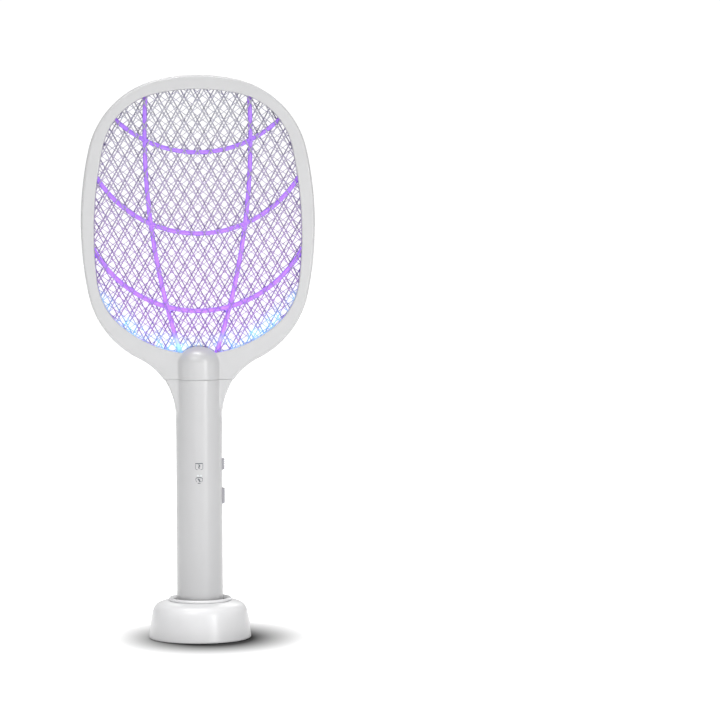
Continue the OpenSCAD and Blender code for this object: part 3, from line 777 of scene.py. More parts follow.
@dataclass(frozen=True)
class SwatterShape:
    """The outlines and depths that the swatter's pieces share, in metres."""

    outer: ArcShape = ArcShape(486.2 * MM, ((149 * MM, 13.3), (79.3 * MM, 64.3),
                                            (296 * MM, 24.1), (80.3 * MM, 52.0)))
    open_arcs: tuple[Pair, ...] = ((163 * MM, 13.0), (58.8 * MM, 64.5),
                                                  (346 * MM, 19.5), (57.6 * MM, 41.5))
    open_top: float = 474.2 * MM
    handle_r: float = 20 * MM
    seam_z: float = 224.7 * MM
    dome_z: float = 239 * MM
    dome_h: float = 15.6 * MM
    half_depth: float = 10 * MM
    guard_ring: Pair = (5.8 * MM, 7.95 * MM)
    rib_depth: Pair = (1.0 * MM, 5.7 * MM)

    @property
    def opening(self) -> ArcShape:
        """The head's opening, whose last arc is the shallow sill over the neck."""
        free = ArcShape(self.open_top, self.open_arcs)
        turned = free.turns[-1]
        end_x = free.at(np.array([turned]))[0, 0]
        sill_r = end_x / np.sin(np.radians(turned))
        return ArcShape(self.open_top, self.open_arcs + ((sill_r, 180 - turned),))

    @property
    def neck_turn(self) -> float:
        """Heading at which the hoop's outline runs over into the hollow neck."""
        return float(self.outer.turns[-1])

    @property
    def neck_r(self) -> float:
        """Radius of the hollow neck, which ends upright at the handle's radius."""
        end_x = self.outer.at(np.array([self.neck_turn]))[0, 0]
        return (end_x - self.handle_r) / (1 - np.sin(np.radians(self.neck_turn)))

    @property
    def neck_centre(self) -> Array:
        """Centre of the hollow neck's arc."""
        end = self.outer.at(np.array([self.neck_turn]))[0]
        return end + self.neck_r * heading_normal(self.neck_turn)

    def half_width(self, z: Array, inset: float = 0.0) -> Array:
        """Half the neck's width at a height: the arc's centre less its half chord.

        Args:
            z: Heights below the hoop.
            inset: Distance that the outline is drawn in.

        Returns:
            The half widths, never under the handle's radius.
        """
        rise = np.clip(z - self.neck_centre[1], 0, None)
        reach = self.neck_r + inset
        return self.neck_centre[0] - np.sqrt(reach ** 2 - rise ** 2)

    def bulge(self, x: Array, z: Array) -> Array:
        """Depth of the round handle and its dome: a circle in X, then a half ellipsoid in Z.

        Args:
            x: Distances from the middle.
            z: Heights.

        Returns:
            The depths, zero outside the handle.
        """
        rise = np.clip(z - self.dome_z, 0, None) / self.dome_h
        inside = 1 - (x / self.handle_r) ** 2 - rise ** 2
        return self.handle_r * np.sqrt(np.clip(inside, 0, None))


SHAPE = SwatterShape()


# ---------------------------------------------------------------- studio


@dataclass
class Studio:
    """Camera, lights, white room and floor.

    The room is side_light[0] bright where a direction's X is up to side_turn[0] and falls to
    side_light[1] at side_turn[1]. The shadow painted on the floor round the stand, stretched
    and shifted from the origin, fades out between its two radii.
    """

    eye: Point = (0.0, -3.0, 0.432)
    aim: Point = (0.1393, 0.0, 0.2403)
    lens: float = 174.0
    roll: float = -0.15
    side_turn: Pair = (0.45, 0.85)
    side_light: Pair = (0.66, 0.2)
    backdrop: float = 1.05
    floor_reach: float = 14.0
    floor_glow: float = 0.62
    # shadow painted on the floor round the stand: its shift, stretch, fade radii and dark colour
    painted_shadow_shift: Point = (-0.0100, 0.005, 0.0)
    painted_shadow_stretch: Point = (1.2, 1.0, 1.0)
    painted_shadow_r: Pair = (0.0445, 0.1400)
    painted_shadow_colour: str = "#404040"

    def camera(self) -> None:
        """Makes the camera, a little above the swatter's middle and three metres away."""
        data = bpy.data.cameras.new("camera")
        data.lens = self.lens
        data.sensor_width = 36.0
        data.clip_end = 50.0
        seen = placed("camera", data)
        seen.location = self.eye
        seen.rotation_euler = facing(self.eye, self.aim)
        seen.rotation_euler.rotate_axis("Z", float(np.radians(self.roll)))
        bpy.context.scene.camera = seen

    def lamp(self, name: str, place: Point, aim: Point, size: Pair, power: float) -> None:
        """Makes a rectangular soft box.

        Args:
            name: The light's name.
            place: Where it stands.
            aim: The point that it faces.
            size: Width and height, in metres.
            power: Power in watts.
        """
        data = bpy.data.lights.new(name, "AREA")
        data.shape = "RECTANGLE"
        data.size, data.size_y = size
        data.energy = power
        light = placed(name, data)
        light.location = place
        light.rotation_euler = facing(place, aim)

    def room(self) -> None:
        """A white room: pure white behind the swatter, dimmer to the sides as light."""
        world = bpy.data.worlds.new("white_room")
        bpy.context.scene.world = world
        world.use_nodes = True
        tree = world.node_tree
        tree.nodes.clear()
        way = add(tree, "TexCoord").outputs["Generated"]
        sideways = worked(tree, "ABSOLUTE", add(tree, "SeparateXYZ", {0: way}).outputs[0])
        strength = ranged(tree, sideways, *self.side_turn, *self.side_light)
        lit = add(tree, "Background", {"Color": WHITE, "Strength": strength})
        seen = add(tree, "Background", {"Color": WHITE, "Strength": self.backdrop})
        path = add(tree, "LightPath")
        both = add(tree, "MixShader", {0: path.outputs["Is Camera Ray"], 1: lit.outputs[0],
                                       2: seen.outputs[0]})
        add(tree, "OutputWorld", {0: both.outputs[0]})
        bpy.context.scene.view_settings.view_transform = "Standard"
        bpy.context.scene.view_settings.look = "None"

    def floor(self) -> None:
        """A pale floor, with a soft shadow painted where the stand keeps the room's light off."""
        line = np.linspace(-self.floor_reach, self.floor_reach, 29)
        x, y = np.meshgrid(line, line)
        points = np.stack([x, y, np.zeros_like(x)], axis=-1)
        mesh = Skin().grid(points, outward=(0.0, 0.0, -1.0)).mesh("floor")
        paint = bpy.data.materials.new("floor_matt_white_board")
        paint.use_nodes = True
        tree = paint.node_tree
        shader = tree.nodes["Principled BSDF"]
        place = add(tree, "TexCoord").outputs["Object"]
        centred = add(tree, "Mapping", {"Vector": place, "Location": self.painted_shadow_shift,
                                        "Scale": self.painted_shadow_stretch})
        away = add(tree, "VectorMath", {0: centred.outputs[0]}, operation="LENGTH")
        # mask of the painted shadow: 0 at the stand, 1 where the pale floor is left
        painted_shadow = ranged(tree, away.outputs["Value"], *self.painted_shadow_r)
        pale = blend_of(tree, noise_of(tree, place, 3.0), linear("#fbfbfb"),
                        linear("#f6f6f6"))
        # inside the painted shadow the floor's colour turns dark and its glow goes out
        colour = blend_of(tree, painted_shadow, linear(self.painted_shadow_colour), pale)
        glow = blend_of(tree, painted_shadow, DARK, pale)
        tree.links.new(colour, shader.inputs["Base Color"])
        tree.links.new(glow, shader.inputs["Emission Color"])
        shader.inputs["Emission Strength"].default_value = self.floor_glow
        shader.inputs["Roughness"].default_value = 0.9
        shader.inputs["Specular IOR Level"].default_value = 0.0
        mesh.materials.append(paint)
        placed("floor", mesh)

    def lights(self) -> None:
        """A tall box for the handle's stripe, boxes above and low in front, a fill behind."""
        middle = (0.0, 0.0, 0.25)
        self.lamp("tall_right", (1.15, -1.75, 0.45), middle, (0.24, 1.7), 20.0)
        self.lamp("high_left", (-0.6, -1.3, 1.5), middle, (0.9, 0.45), 9.0)
        self.lamp("overhead", (-0.2, -0.3, 2.2), (0.0, 0.0, 0.1), (1.3, 0.5), 26.0)
        self.lamp("low_front", (0.1, -1.8, 0.2), (0.0, 0.0, 0.08), (1.6, 0.3), 3.6)
        self.lamp("rear_fill", (0.3, 1.8, 1.3), middle, (1.4, 0.8), 8.0)

    def build(self) -> None:
        """Builds the room and what is in it."""
        self.room()
        self.floor()
        self.lights()


# ---------------------------------------------------------------- lead


@dataclass
class ChargingLead:
    """The charging lead, coiled behind the stand, and its plugs, sizes in millimetres.

    The coil turns through that many degrees and steps up one lead's width during the rise. A
    plug's sizes are distance from its nose, width and height.
    """

    diameter: float = 3.5
    coil_x: float = 19.0
    coil_y: float = 85.0
    coil_r: float = 19.0
    low_z: float = 2.25
    high_z: float = 5.75
    rise: Pair = (285.0, 345.0)
    turned: float = 630.0
    inlet_z: float = 7.0
    usb: Point = (-23.5, 83.0, 4.0)
    run_in: tuple[Point, ...] = (
        (0, 61, 7), (0, 63, 7), (0, 65, 6.6), (0, 67, 5.8), (0, 69, 4.8), (0, 71, 3.8),
        (0, 73, 3), (0, 75, 2.5), (0, 77, 2.3), (0, 81, 2.25), (0, 85, 2.25))
    run_out: tuple[Point, ...] = (
        (19, 66, 5.75), (15.3, 66.4, 6), (11.7, 67.4, 6.7), (8.4, 69.2, 7.7), (5.6, 71.6, 8.6),
        (3.2, 74.4, 9.2), (1.4, 77.7, 9.3), (0.4, 81.3, 9.3), (0, 85, 9.3), (-0.9, 88.6, 9.1),
        (-2.9, 91.8, 7.9), (-5.6, 94.5, 6.2), (-8.7, 96.3, 4.5), (-12, 97, 3.2),
        (-15.4, 96.4, 2.4), (-18.4, 94.6, 2.4), (-20.8, 92, 3), (-22.6, 88.8, 3.6),
        (-23.3, 86, 3.9), (-23.5, 83, 4))
    micro_nose: float = 38.0
    # Both plugs: a grip, then a strain relief with two grooves
    micro_sizes: tuple[Point, ...] = (
        (0, 9.2, 6.4), (0.5, 9.8, 7), (6, 9.7, 6.9), (9, 9.3, 6.6), (12, 9.7, 6.9),
        (13.6, 9.6, 6.8), (14.4, 8, 6), (16.6, 7.6, 5.8), (17.2, 6, 5.6), (18.4, 5.7, 5.5),
        (18.8, 5, 5), (19.4, 5, 5), (19.8, 5.5, 5.4), (20.6, 5.3, 5.2), (21, 4.8, 4.8),
        (21.6, 4.8, 4.8), (22, 5, 4.9), (22.9, 4.5, 4.5))
    usb_sizes: tuple[Point, ...] = (
        (0, 14.2, 7.3), (0.6, 15, 8), (8, 14.9, 7.9), (12, 14.4, 7.6), (14.8, 13.6, 7.2),
        (16, 10.5, 6.4), (16.8, 6, 5.4), (18, 5.6, 5.4), (18.4, 4.9, 4.9), (19, 4.9, 4.9),
        (19.4, 5.3, 5.3), (20.2, 5.1, 5.1), (20.6, 4.6, 4.6), (21.9, 4.5, 4.5))

    def coil(self) -> Array:
        """The coil's turns: a circle whose height steps up once, by a smooth step.

        Returns:
            The points between the two free runs.
        """
        turn = np.arange(5.0, self.turned, 5.0)
        t = np.clip((turn - self.rise[0]) / (self.rise[1] - self.rise[0]), 0, 1)
        z = self.low_z + (self.high_z - self.low_z) * (3 * t ** 2 - 2 * t ** 3)
        angle = np.radians(turn)
        return np.stack([self.coil_x - self.coil_r * np.cos(angle),
                         self.coil_y + self.coil_r * np.sin(angle), z], axis=1)

    def route(self) -> Array:
        """The whole centreline in metres: free run, coil, free run.

        Returns:
            The points.
        """
        start = eased(np.array(self.run_in, dtype=float), 3)
        end = eased(np.array(self.run_out, dtype=float), 3)
        return np.concatenate([start, self.coil(), end]) * MM

    def jacket(self) -> Object:
        """The lead itself, a round curve along the route.

        Returns:
            The curve object.
        """
        data = bpy.data.curves.new("lead_jacket", "CURVE")
        data.dimensions = "3D"
        data.bevel_depth = self.diameter / 2 * MM
        data.bevel_resolution = 4
        data.use_fill_caps = True
        route = self.route()
        line = data.splines.new("POLY")
        line.points.add(len(route) - 1)
        line.points.foreach_set("co", np.column_stack([route, np.ones(len(route))]).ravel())
        line.use_smooth = True
        data.materials.append(Finishes.LEAD.material())
        made = placed("lead_jacket", data)
        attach(made, Body.LEAD.value)
        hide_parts("lead_run_in", "lead_coil", "lead_run_out")
        return made

    def plug_body(self, name: str, node: str, nose: Point, sizes: tuple[Point, ...],
                  corner: float) -> Object:
        """A moulded plug: a soft rectangle carried along Y while its size changes.

        Args:
            name: The piece's name.
            node: The CAD node that it stands for.
            nose: Middle of the plug's front face, in millimetres.
            sizes: Distance from the nose, width and height of each section, in millimetres.
            corner: Share of the height that each corner's radius takes.

        Returns:
            The piece.
        """
        rows = []
        for away, width, height in eased(np.array(sizes, dtype=float), 4):
            ring = soft_box(width, height, min(corner * height, height / 2 - 0.01), 6)
            rows.append(stood(ring + [nose[0], nose[2]], nose[1] + away))
        grid = np.array(rows)
        ends = [np.broadcast_to(grid[i].mean(axis=0), grid[i].shape)[None] for i in (0, -1)]
        grid = np.concatenate([ends[0], grid, ends[1]]) * MM
        middle = tuple(grid.reshape(-1, 3).mean(axis=0))
        return Skin().grid(grid, around=True, outward=middle).piece(
            name, Finishes.LEAD, Body.LEAD, "lead_pvc", (node,), corner=50)

    def build(self) -> None:
        """Makes the lead and its two plugs."""
        jacket = self.jacket()
        micro = self.plug_body("micro_plug_grip", "micro_plug_body",
                               (0.0, self.micro_nose, self.inlet_z), self.micro_sizes, 0.45)
        usb_nose = (self.usb[0], self.usb[1] - 22, self.usb[2])
        usb = self.plug_body("usb_plug_grip", "usb_plug_body", usb_nose, self.usb_sizes, 0.4)


# ---------------------------------------------------------------- head


@dataclass
class HeadShells:
    """The front and rear shells of the hoop with the neck's dome, sizes in metres.

    The counts are the right half's columns along the hoop down to the heading in split, the
    rest of the hoop, the neck and the seam. A screw is the number of its arc and its heading.
    """

    lip: float = 8.02 * MM
    edge_round: float = 2.4 * MM
    lip_round: float = 1.3 * MM
    seam_round: float = 0.6 * MM
    parting: float = 0.22 * MM
    fillet: float = 2.2 * MM
    wall: float = 1.5 * MM
    split: float = 130.0
    edge_rows: int = 8
    face_rows: int = 18
    lip_rows: int = 7
    face_ease: float = 1.25
    counts: tuple[int, int, int, int] = (150, 26, 40, 34)
    screws: tuple[tuple[int, float], ...] = ((0, 0.0), (1, 16.0), (2, 84.0), (3, 118.0),
                                             (3, 148.0))
    screw_inset: float = 4.4 * MM
    seat: float = 8.62 * MM
    bore_r: float = 2.1 * MM

    def outer_line(self, inset: float) -> Array:
        """The right half's outer edge, drawn in: hoop, hollow neck, then along the seam.

        The neck's arc ends where it meets the seam's height, which rises with the inset in
        the ratio of the seam's small rounding to the edge's own.

        Args:
            inset: Distance from the outline.

        Returns:
            Rows of X and Z, from the top's middle to the seam's middle.
        """
        hoop, low_hoop, neck, seam = self.counts
        first = SHAPE.outer.evenly(0, self.split, hoop)
        second = SHAPE.outer.evenly(self.split, SHAPE.neck_turn, low_hoop + 1)[1:]
        curve = SHAPE.outer.at(np.concatenate([first, second]), inset)
        seam_z = SHAPE.seam_z + inset * self.seam_round / self.edge_round
        reach = SHAPE.neck_r + inset
        last = np.degrees(np.arccos((SHAPE.neck_centre[1] - seam_z) / reach))
        turn = SHAPE.neck_turn + (last - SHAPE.neck_turn) * np.arange(1, neck + 1) / neck
        hollow = SHAPE.neck_centre - reach * heading_normal(turn)
        x = hollow[-1, 0] * (1 - np.arange(1, seam + 1) / seam)
        flat = np.stack([x, np.full(seam, seam_z)], axis=1)
        return np.concatenate([curve, hollow, flat])

    def inner_line(self, grow: float) -> Array:
        """The right half's inner edge: the opening, or the dome's foot where it stands higher.

        Args:
            grow: Distance from the opening into the plastic.

        Returns:
            Rows of X and Z, one for each point of the outer line.
        """
        first = SHAPE.opening.evenly(0, self.split, self.counts[0])
        steps = np.diff(self.outer_line(0.0)[self.counts[0] - 1:], axis=0)
        length = np.concatenate([[0], np.cumsum(np.linalg.norm(steps, axis=1))])
        even = SHAPE.opening.evenly(self.split, 180, 400)
        second = np.interp(length[1:] / length[-1], np.linspace(0, 1, len(even)), even)
        line = SHAPE.opening.at(np.concatenate([first, second]), -grow)
        foot = 1 - (line[:, 0] ** 2 + self.lip ** 2) / SHAPE.handle_r ** 2
        dome = SHAPE.dome_z + SHAPE.dome_h * np.sqrt(np.clip(foot, 0, None)) - 0.3 * grow
        dome = np.where(foot > 0, dome, 0.0)
        line[:, 1] = np.maximum(line[:, 1], dome)
        return line

    def depth(self, points: Array, flat: Array | float) -> Array:
        """Depth of the face: the flat hoop or the neck's bulge, whichever stands out more.

        Beyond the sill only the dome is left, so there the flat drops to the lip along a
        quarter circle of the lip's radius.

        Args:
            points: Rows of X and Z.
            flat: The hoop's own depth there.

        Returns:
            The depths.
        """
        centre, radius = SHAPE.opening.centres[-1], SHAPE.opening.radii[-1]
        into = np.linalg.norm(points - centre, axis=-1) - radius
        near = np.clip(into, 0, self.lip_round)
        drop = self.lip_round - np.sqrt(self.lip_round ** 2 - (self.lip_round - near) ** 2)
        sill = SHAPE.half_depth - drop - np.where(into < 0, -into * 1.5, 0)
        over_dome = (np.abs(points[..., 0]) < SHAPE.handle_r) & (points[..., 1] < centre[1])
        flat = np.where(over_dome, np.minimum(flat, np.maximum(sill, 0)), flat)
        bulge = SHAPE.bulge(points[..., 0], points[..., 1])
        return smooth_higher(np.broadcast_to(flat, bulge.shape), bulge, self.fillet)

    def half_grid(self) -> Array:
        """The front shell's grid: side wall, round edge, face, round lip.

        A row is one closed line round the head. Down the side wall the line is the outline
        itself, round the edge it is drawn in by r (1 - cos a) at depth r sin a, across the
        face it moves to the opening in steps that shrink towards it, and the lip turns in the
        same way.

        Returns:
            Rows by columns by three coordinates.
        """
        r, top = self.edge_round, SHAPE.half_depth
        rows: list[tuple[Array, Array | float]] = []
        for inset, depth in ((self.parting, 0.03 * MM), (self.parting * 0.3, self.parting * 0.5),
                             (0.0, self.parting * 1.4), (0.0, (top - r) / 2)):
            rows.append((self.outer_line(inset), depth))
        for a in np.linspace(0, np.pi / 2, self.edge_rows):
            line = self.outer_line(r * (1 - np.cos(a)))
            flat = top - r + r * np.sin(a)
            rows.append((line, self.seam_depth(line, flat, a)))
        start, end = self.outer_line(r), self.inner_line(self.lip_round)
        for share in np.linspace(0, 1, self.face_rows + 2)[1:-1]:
            line = start + (end - start) * (1 - (1 - share) ** self.face_ease)
            rows.append((line, self.depth(line, top)))
        for a in np.linspace(0, np.pi / 2, self.lip_rows):
            line = self.inner_line(self.lip_round * (1 - np.sin(a)))
            flat = top - self.lip_round * (1 - np.cos(a))
            rows.append((line, np.maximum(self.depth(line, flat), self.lip)))
        rows.append((self.inner_line(0.0), self.lip))
        grid = []
        for line, depth in rows:
            y = -np.broadcast_to(depth, len(line))
            right = np.stack([line[:, 0], y, line[:, 1]], axis=1)
            grid.append(np.concatenate([right, right[-2:0:-1] * [-1, 1, 1]]))
        return np.array(grid)

    def seam_depth(self, line: Array, flat: float, a: float) -> Array:
        """Depth along the rounded edge, which at the seam follows the bulge instead.

        Args:
            line: Rows of X and Z.
            flat: The hoop edge's depth.
            a: Turn through the rounding, from 0 at the side wall.

        Returns:
            The depths.
        """
        full = self.depth(line, SHAPE.half_depth)
        small = self.seam_round * (1 - np.sin(a))
        at_seam = np.arange(len(line)) >= sum(self.counts[:3])
        return np.where(at_seam, full - small, np.full(len(line), flat))

    def screw_places(self) -> list[Pair]:
        """X and Z of the hoop's screws, the pairs mirrored."""
        places = []
        for arc, heading in self.screws:
            reach = SHAPE.outer.radii[arc] - self.screw_inset
            x, z = SHAPE.outer.centres[arc] + reach * heading_normal(heading)
            places += [(x, z)] if x < MM else [(x, z), (-x, z)]
        return places

    def build(self) -> None:
        """Makes both shells and the screws in the rear one."""
        grid = self.half_grid()
        for name, turned in (("front", 1), ("rear", -1)):
            skin = Skin().grid(grid * [1, turned, 1], around=True,
                               outward=(0.0, 0.05 * turned, 0.36))
            shell = skin.piece(f"head_shell_{name}", Finishes.SHELL, Body.SWATTER, "shell_abs",
                               (f"head_{name}",), wall=self.wall, corner=50)
        places = self.screw_places()
        bore(shell, [((x, self.seat, z), (x, 12 * MM, z)) for x, z in places], self.bore_r)
        ScrewHeads(radius=1.9 * MM, height=1.15 * MM).build(
            "hoop_screw_heads", "head_screws", Body.SWATTER,
            [(x, self.seat + 0.02 * MM, z) for x, z in places])


@dataclass
class ScrewHeads:
    """Low round screw heads with a cross recess, sizes in metres.

    The recess reaches to slot_reach of the radius and is slot_depth of the height deep, and
    its walls and ends fall off over about the two slopes.
    """

    radius: float
    height: float
    slot_half: float = 0.24 * MM
    slot_reach: float = 0.62
    slot_depth: float = 0.55
    wall_slope: float = 0.05 * MM
    end_slope: float = 0.08 * MM
    rings: int = 14
    sides: int = 48

    def local(self) -> Array:
        """One head as radius-and-angle rings, from its rim up to the middle.

        The height is a shallow dome, h (1 - (r/R)^2 / 3), and inside the cross, where the
        smaller of the two distances from its arms is under half a slot, it drops smoothly.

        Returns:
            Rings by sides by three: two across the head, one out of it.
        """
        turn = np.arange(self.sides) * 2 * np.pi / self.sides
        r = np.linspace(1, 0, self.rings)[:, None] * self.radius
        u = r * np.cos(turn)
        v = r * np.sin(turn)
        arm = np.minimum(np.abs(u), np.abs(v))
        inside = 1 / (1 + np.exp((arm - self.slot_half) / self.wall_slope))
        within = 1 / (1 + np.exp((r - self.slot_reach * self.radius) / self.end_slope))
        dome = self.height * (1 - (r / self.radius) ** 2 / 3)
        drop = self.slot_depth * self.height * inside * within
        top = np.stack([u, v, dome - drop], axis=-1)
        foot = top[:1].copy()
        foot[..., 2] = 0
        closing = np.zeros_like(foot)
        return np.concatenate([closing, foot, top])

    def build(self, name: str, node: str, body: Body, places: list[Point],
              down: bool = False) -> None:
        """Puts a head at each place.

        Args:
            name: The piece's name.
            node: The CAD node that it stands for.
            body: The body that it moves with.
            places: Middle of each head's foot.
            down: Whether the heads look along -Z, and not along +Y.
        """
        head = self.local()
        points = head * [1, 1, -1] if down else head[..., [0, 2, 1]]
        inner = [0, 0, -0.3 * self.height] if down else [0, 0.3 * self.height, 0]
        skin = Skin()
        for place in np.array(places):
            skin.grid(points + place, around=True, outward=tuple(place + inner))
        skin.piece(name, Finishes.STEEL, body, "steel", (node,), corner=35)


# ---------------------------------------------------------------- nets, ribs and lamps


@dataclass
class Net:
    """A net of round wires woven over and under each other, in the rim that holds them.

    The rim is its lowest and highest Y, the slope is in degrees from level, the pitch is the
    gap from wire to wire, and the shift moves the middle wire off the opening's middle. A wire
    has that many steps from one crossing to the next. Sizes are in metres.
    """

    name: str
    node: str
    finish: Finish
    slot: str
    rim: Pair
    slope: float
    pitch: float
    shift: float
    wire: float
    steps: int
    sides: int = 6

    def lines(self, slope: float) -> list[tuple[Array, int]]:
        """Wires of one slope, from rim to rim.

        A wire is the line at a set distance from the opening's middle along its normal, and
        its ends are where the opening, grown by half the rim's width, crosses that line.

        Args:
            slope: Slope from level, in radians.

        Returns:
            For each wire, its two ends in X and Z and its number from the middle.
        """
        rim = SHAPE.opening.ring(240, 2.0 * MM)
        after = np.roll(rim, -1, axis=0)
        normal = np.array([-np.sin(slope), np.cos(slope)])
        found = []
        count = int(125 * MM / self.pitch) + 1
        for k in range(-count, count + 1):
            side = rim @ normal - self.distance(slope, k)
            side_after = after @ normal - self.distance(slope, k)
            hit = side * side_after < 0
            if hit.sum() == 2:
                share = (side / (side - side_after))[hit, None]
                found.append((rim[hit] + (after - rim)[hit] * share, k))
        return found

    def distance(self, slope: float, k: float) -> float:
        """Distance of wire k from the origin along its normal."""
        normal = np.array([-np.sin(slope), np.cos(slope)])
        opening = SHAPE.opening
        sill = opening.centres[-1, 1] - opening.radii[-1]
        middle = np.array([0.0, (SHAPE.open_top + sill) / 2])
        return float(middle @ normal) + k * self.pitch + self.shift

    def woven(self, skin: Skin, slope: float, over: float) -> None:
        """Adds the wires of one slope.

        Along a wire the other slope's wires pass at whole numbers t, and the wire's depth is
        the middle plus or minus half a wire times cos(pi t), so it goes over and under them.

        Args:
            skin: The skin that the wires join.
            slope: Slope from level, in radians.
            over: One for the set that starts over, minus one for the other.
        """
        y_mid = sum(self.rim) / 2
        lift = self.wire / 2 + 0.03 * MM
        other = np.array([np.sin(slope), np.cos(slope)])
        gap = self.pitch / abs(np.sin(2 * slope))
        for ends, k in self.lines(slope):
            length = np.linalg.norm(ends[1] - ends[0])
            count = max(4, int(length / gap * self.steps))
            flat = ends[0] + (ends[1] - ends[0]) * np.linspace(0, 1, count)[:, None]
            t = (flat @ other - self.distance(-slope, 0)) / self.pitch
            y = y_mid + over * (-1) ** k * lift * np.cos(np.pi * t)
            path = np.stack([flat[:, 0], y, flat[:, 1]], axis=1)
            side = np.array([-np.sin(slope), 0.0, np.cos(slope)])
            tube = swept(path, disc(self.wire / 2, self.sides), side)
            skin.grid(tube, around=True)

    def build(self) -> None:
        """Makes the wires and the rim."""
        slope = float(np.radians(self.slope))
        wires = Skin()
        self.woven(wires, slope, 1.0)
        self.woven(wires, -slope, -1.0)
        wires.piece(self.name + "_wires", self.finish, Body.SWATTER, self.slot, (self.node,),
                    corner=60, closed=True)
        rim_band(self.name + "_rim", self.rim, self.finish, self.slot, self.node)


def rim_band(name: str, depth: Pair, finish: Finish, slot: str, node: str) -> None:
    """A flat ring round the opening, from 0.2 to 4 mm outside it, with small round corners.

    Args:
        name: The piece's name.
        depth: Lowest and highest Y.
        finish: What it is made of.
        slot: The record's material slot that its finish comes from.
        node: The CAD node that it stands for.
    """
    inner, outer, corner = 0.2 * MM, 4.0 * MM, 0.3 * MM
    section = soft_box(outer - inner, depth[1] - depth[0], corner, 2)
    middle_y = sum(depth) / 2
    rows = []
    for across, out in section:
        rows.append(stood(SHAPE.opening.ring(180, (inner + outer) / 2 + across),
                          middle_y + out))
    Skin().grid(np.array(rows + rows[:1]), around=True).piece(
        name, finish, Body.SWATTER, slot, (node,), corner=50, closed=True)


@dataclass
class RibFrame:
    """The curved ribs that keep one guard net off the charged net, sizes in metres.

    Three cross the head, lowest at the heights given, and two run along it, furthest apart at
    long_z. The angles inside the rim are taken from a point at middle_z.
    """

    side: Side
    width: float = 3.7 * MM
    heights: tuple[float, ...] = (420 * MM, 350.3 * MM, 283.6 * MM)
    cross_r: float = 102 * MM
    long_r: float = 600 * MM
    long_x: float = 45.4 * MM
    long_z: float = 435 * MM
    middle_z: float = 0.362

    def arc(self, centre: Pair, radius: float, low: float, high: float) -> Array:
        """Part of a circle inside the rim, as a path in the rib's own depth.

        Args:
            centre: X and Z of the circle's middle.
            radius: Its radius.
            low: First angle from +X, in degrees.
            high: Last angle.

        Returns:
            Points that lie inside the opening grown by 1.5 mm, in order.
        """
        turn = np.radians(np.linspace(low, high, 500))
        x = centre[0] + radius * np.cos(turn)
        z = centre[1] + radius * np.sin(turn)
        rim = SHAPE.opening.ring(240, 1.5 * MM)
        edge = np.hypot(rim[:, 0], rim[:, 1] - self.middle_z)
        angle = np.arctan2(rim[:, 0], rim[:, 1] - self.middle_z)
        order = np.argsort(angle)
        limit = np.interp(np.arctan2(x, z - self.middle_z), angle[order], edge[order])
        inside = np.hypot(x, z - self.middle_z) < limit
        y = np.full(x.shape, self.side.value * sum(SHAPE.rib_depth) / 2)
        return np.stack([x, y, z], axis=1)[inside]

    def build(self) -> None:
        """Makes the five ribs and their rim."""
        depth = SHAPE.rib_depth[1] - SHAPE.rib_depth[0]
        section = soft_box(self.width, depth, 1.1 * MM, 4)
        paths = [self.arc((0.0, z + self.cross_r), self.cross_r, 190, 350)
                 for z in self.heights]
        for side in (-1, 1):
            centre = (side * (self.long_x - self.long_r), self.long_z)
            middle = 0 if side > 0 else 180
            paths.append(self.arc(centre, self.long_r, middle - 25, middle + 25))
        ribs = Skin()
        for path in paths:
            ribs.grid(swept(path, section[:, ::-1], np.array([0.0, 1.0, 0.0])), around=True)
        name = self.side.name.lower()
        ribs.piece(f"{name}_rib_bars", Finishes.RIB, Body.SWATTER, "rib_plastic",
                   (f"{name}_ribs",), corner=60, closed=True)
        low, high = sorted(self.side.value * depth for depth in SHAPE.rib_depth)
        rim_band(f"{name}_rib_rim", (low, high), Finishes.RIB, "rib_plastic", f"{name}_ribs")


@dataclass
class LureLamps:
    """The lamps along the sill: a domed lens each, and the light that they give."""

    places: tuple[float, ...] = (-66.0, -50.0, -32.0, -15.5, 15.5, 32.0, 50.0, 66.0)
    radius: float = 1.5 * MM
    power: float = 0.0009
    colour: str = "#c4ecff"
    below_sill: float = 5.4 * MM
    barrel: float = 3.2
    dome: float = 1.75

    def build(self) -> None:
        """Makes the lenses and a small cyan light over each.

        A lens is a circle carried along the lamp's axis whose size falls off as the square
        root of one minus the height squared, so its end is a half ellipsoid.
        """
        opening = SHAPE.opening
        centre, sill_r = opening.centres[-1], opening.radii[-1]
        y = -sum(SHAPE.rib_depth) / 2
        lenses = Skin()
        for x_mm in self.places:
            lean = np.arcsin(x_mm * MM / sill_r)
            down = np.array([np.sin(lean), 0.0, -np.cos(lean)])
            foot = np.array([centre[0], y, centre[1]]) + down * (sill_r + self.below_sill)
            turn = np.linspace(0.2, 1.5, 7)
            rise = np.concatenate([[0.0, self.barrel], self.barrel + self.dome * np.sin(turn)])
            size = np.concatenate([[1.0, 1.0], np.cos(turn)])
            path = foot - down * rise[:, None] * MM
            tube = swept(path, disc(self.radius, 20), np.array([0.0, 1.0, 0.0]), scale=size)
            lenses.grid(tube, around=True)
            self.shine(x_mm, foot - down * 10 * MM)
        lenses.piece("lure_lamp_lenses", Finishes.LAMP, Body.SWATTER, "lamp_plastic",
                     ("lure_lamps",), closed=True)

    def shine(self, x_mm: float, place: Array) -> None:
        """Adds a lamp's light, a small soft point.

        Args:
            x_mm: The lamp's place across the sill, for its name.
            place: Where the light stands.
        """
        data = bpy.data.lights.new(f"lure_{x_mm:.0f}", "POINT")
        data.energy = self.power
        data.shadow_soft_size = 2 * MM
        data.color = linear(self.colour)[:3]
        placed(data.name, data).location = tuple(place)


# ---------------------------------------------------------------- handle


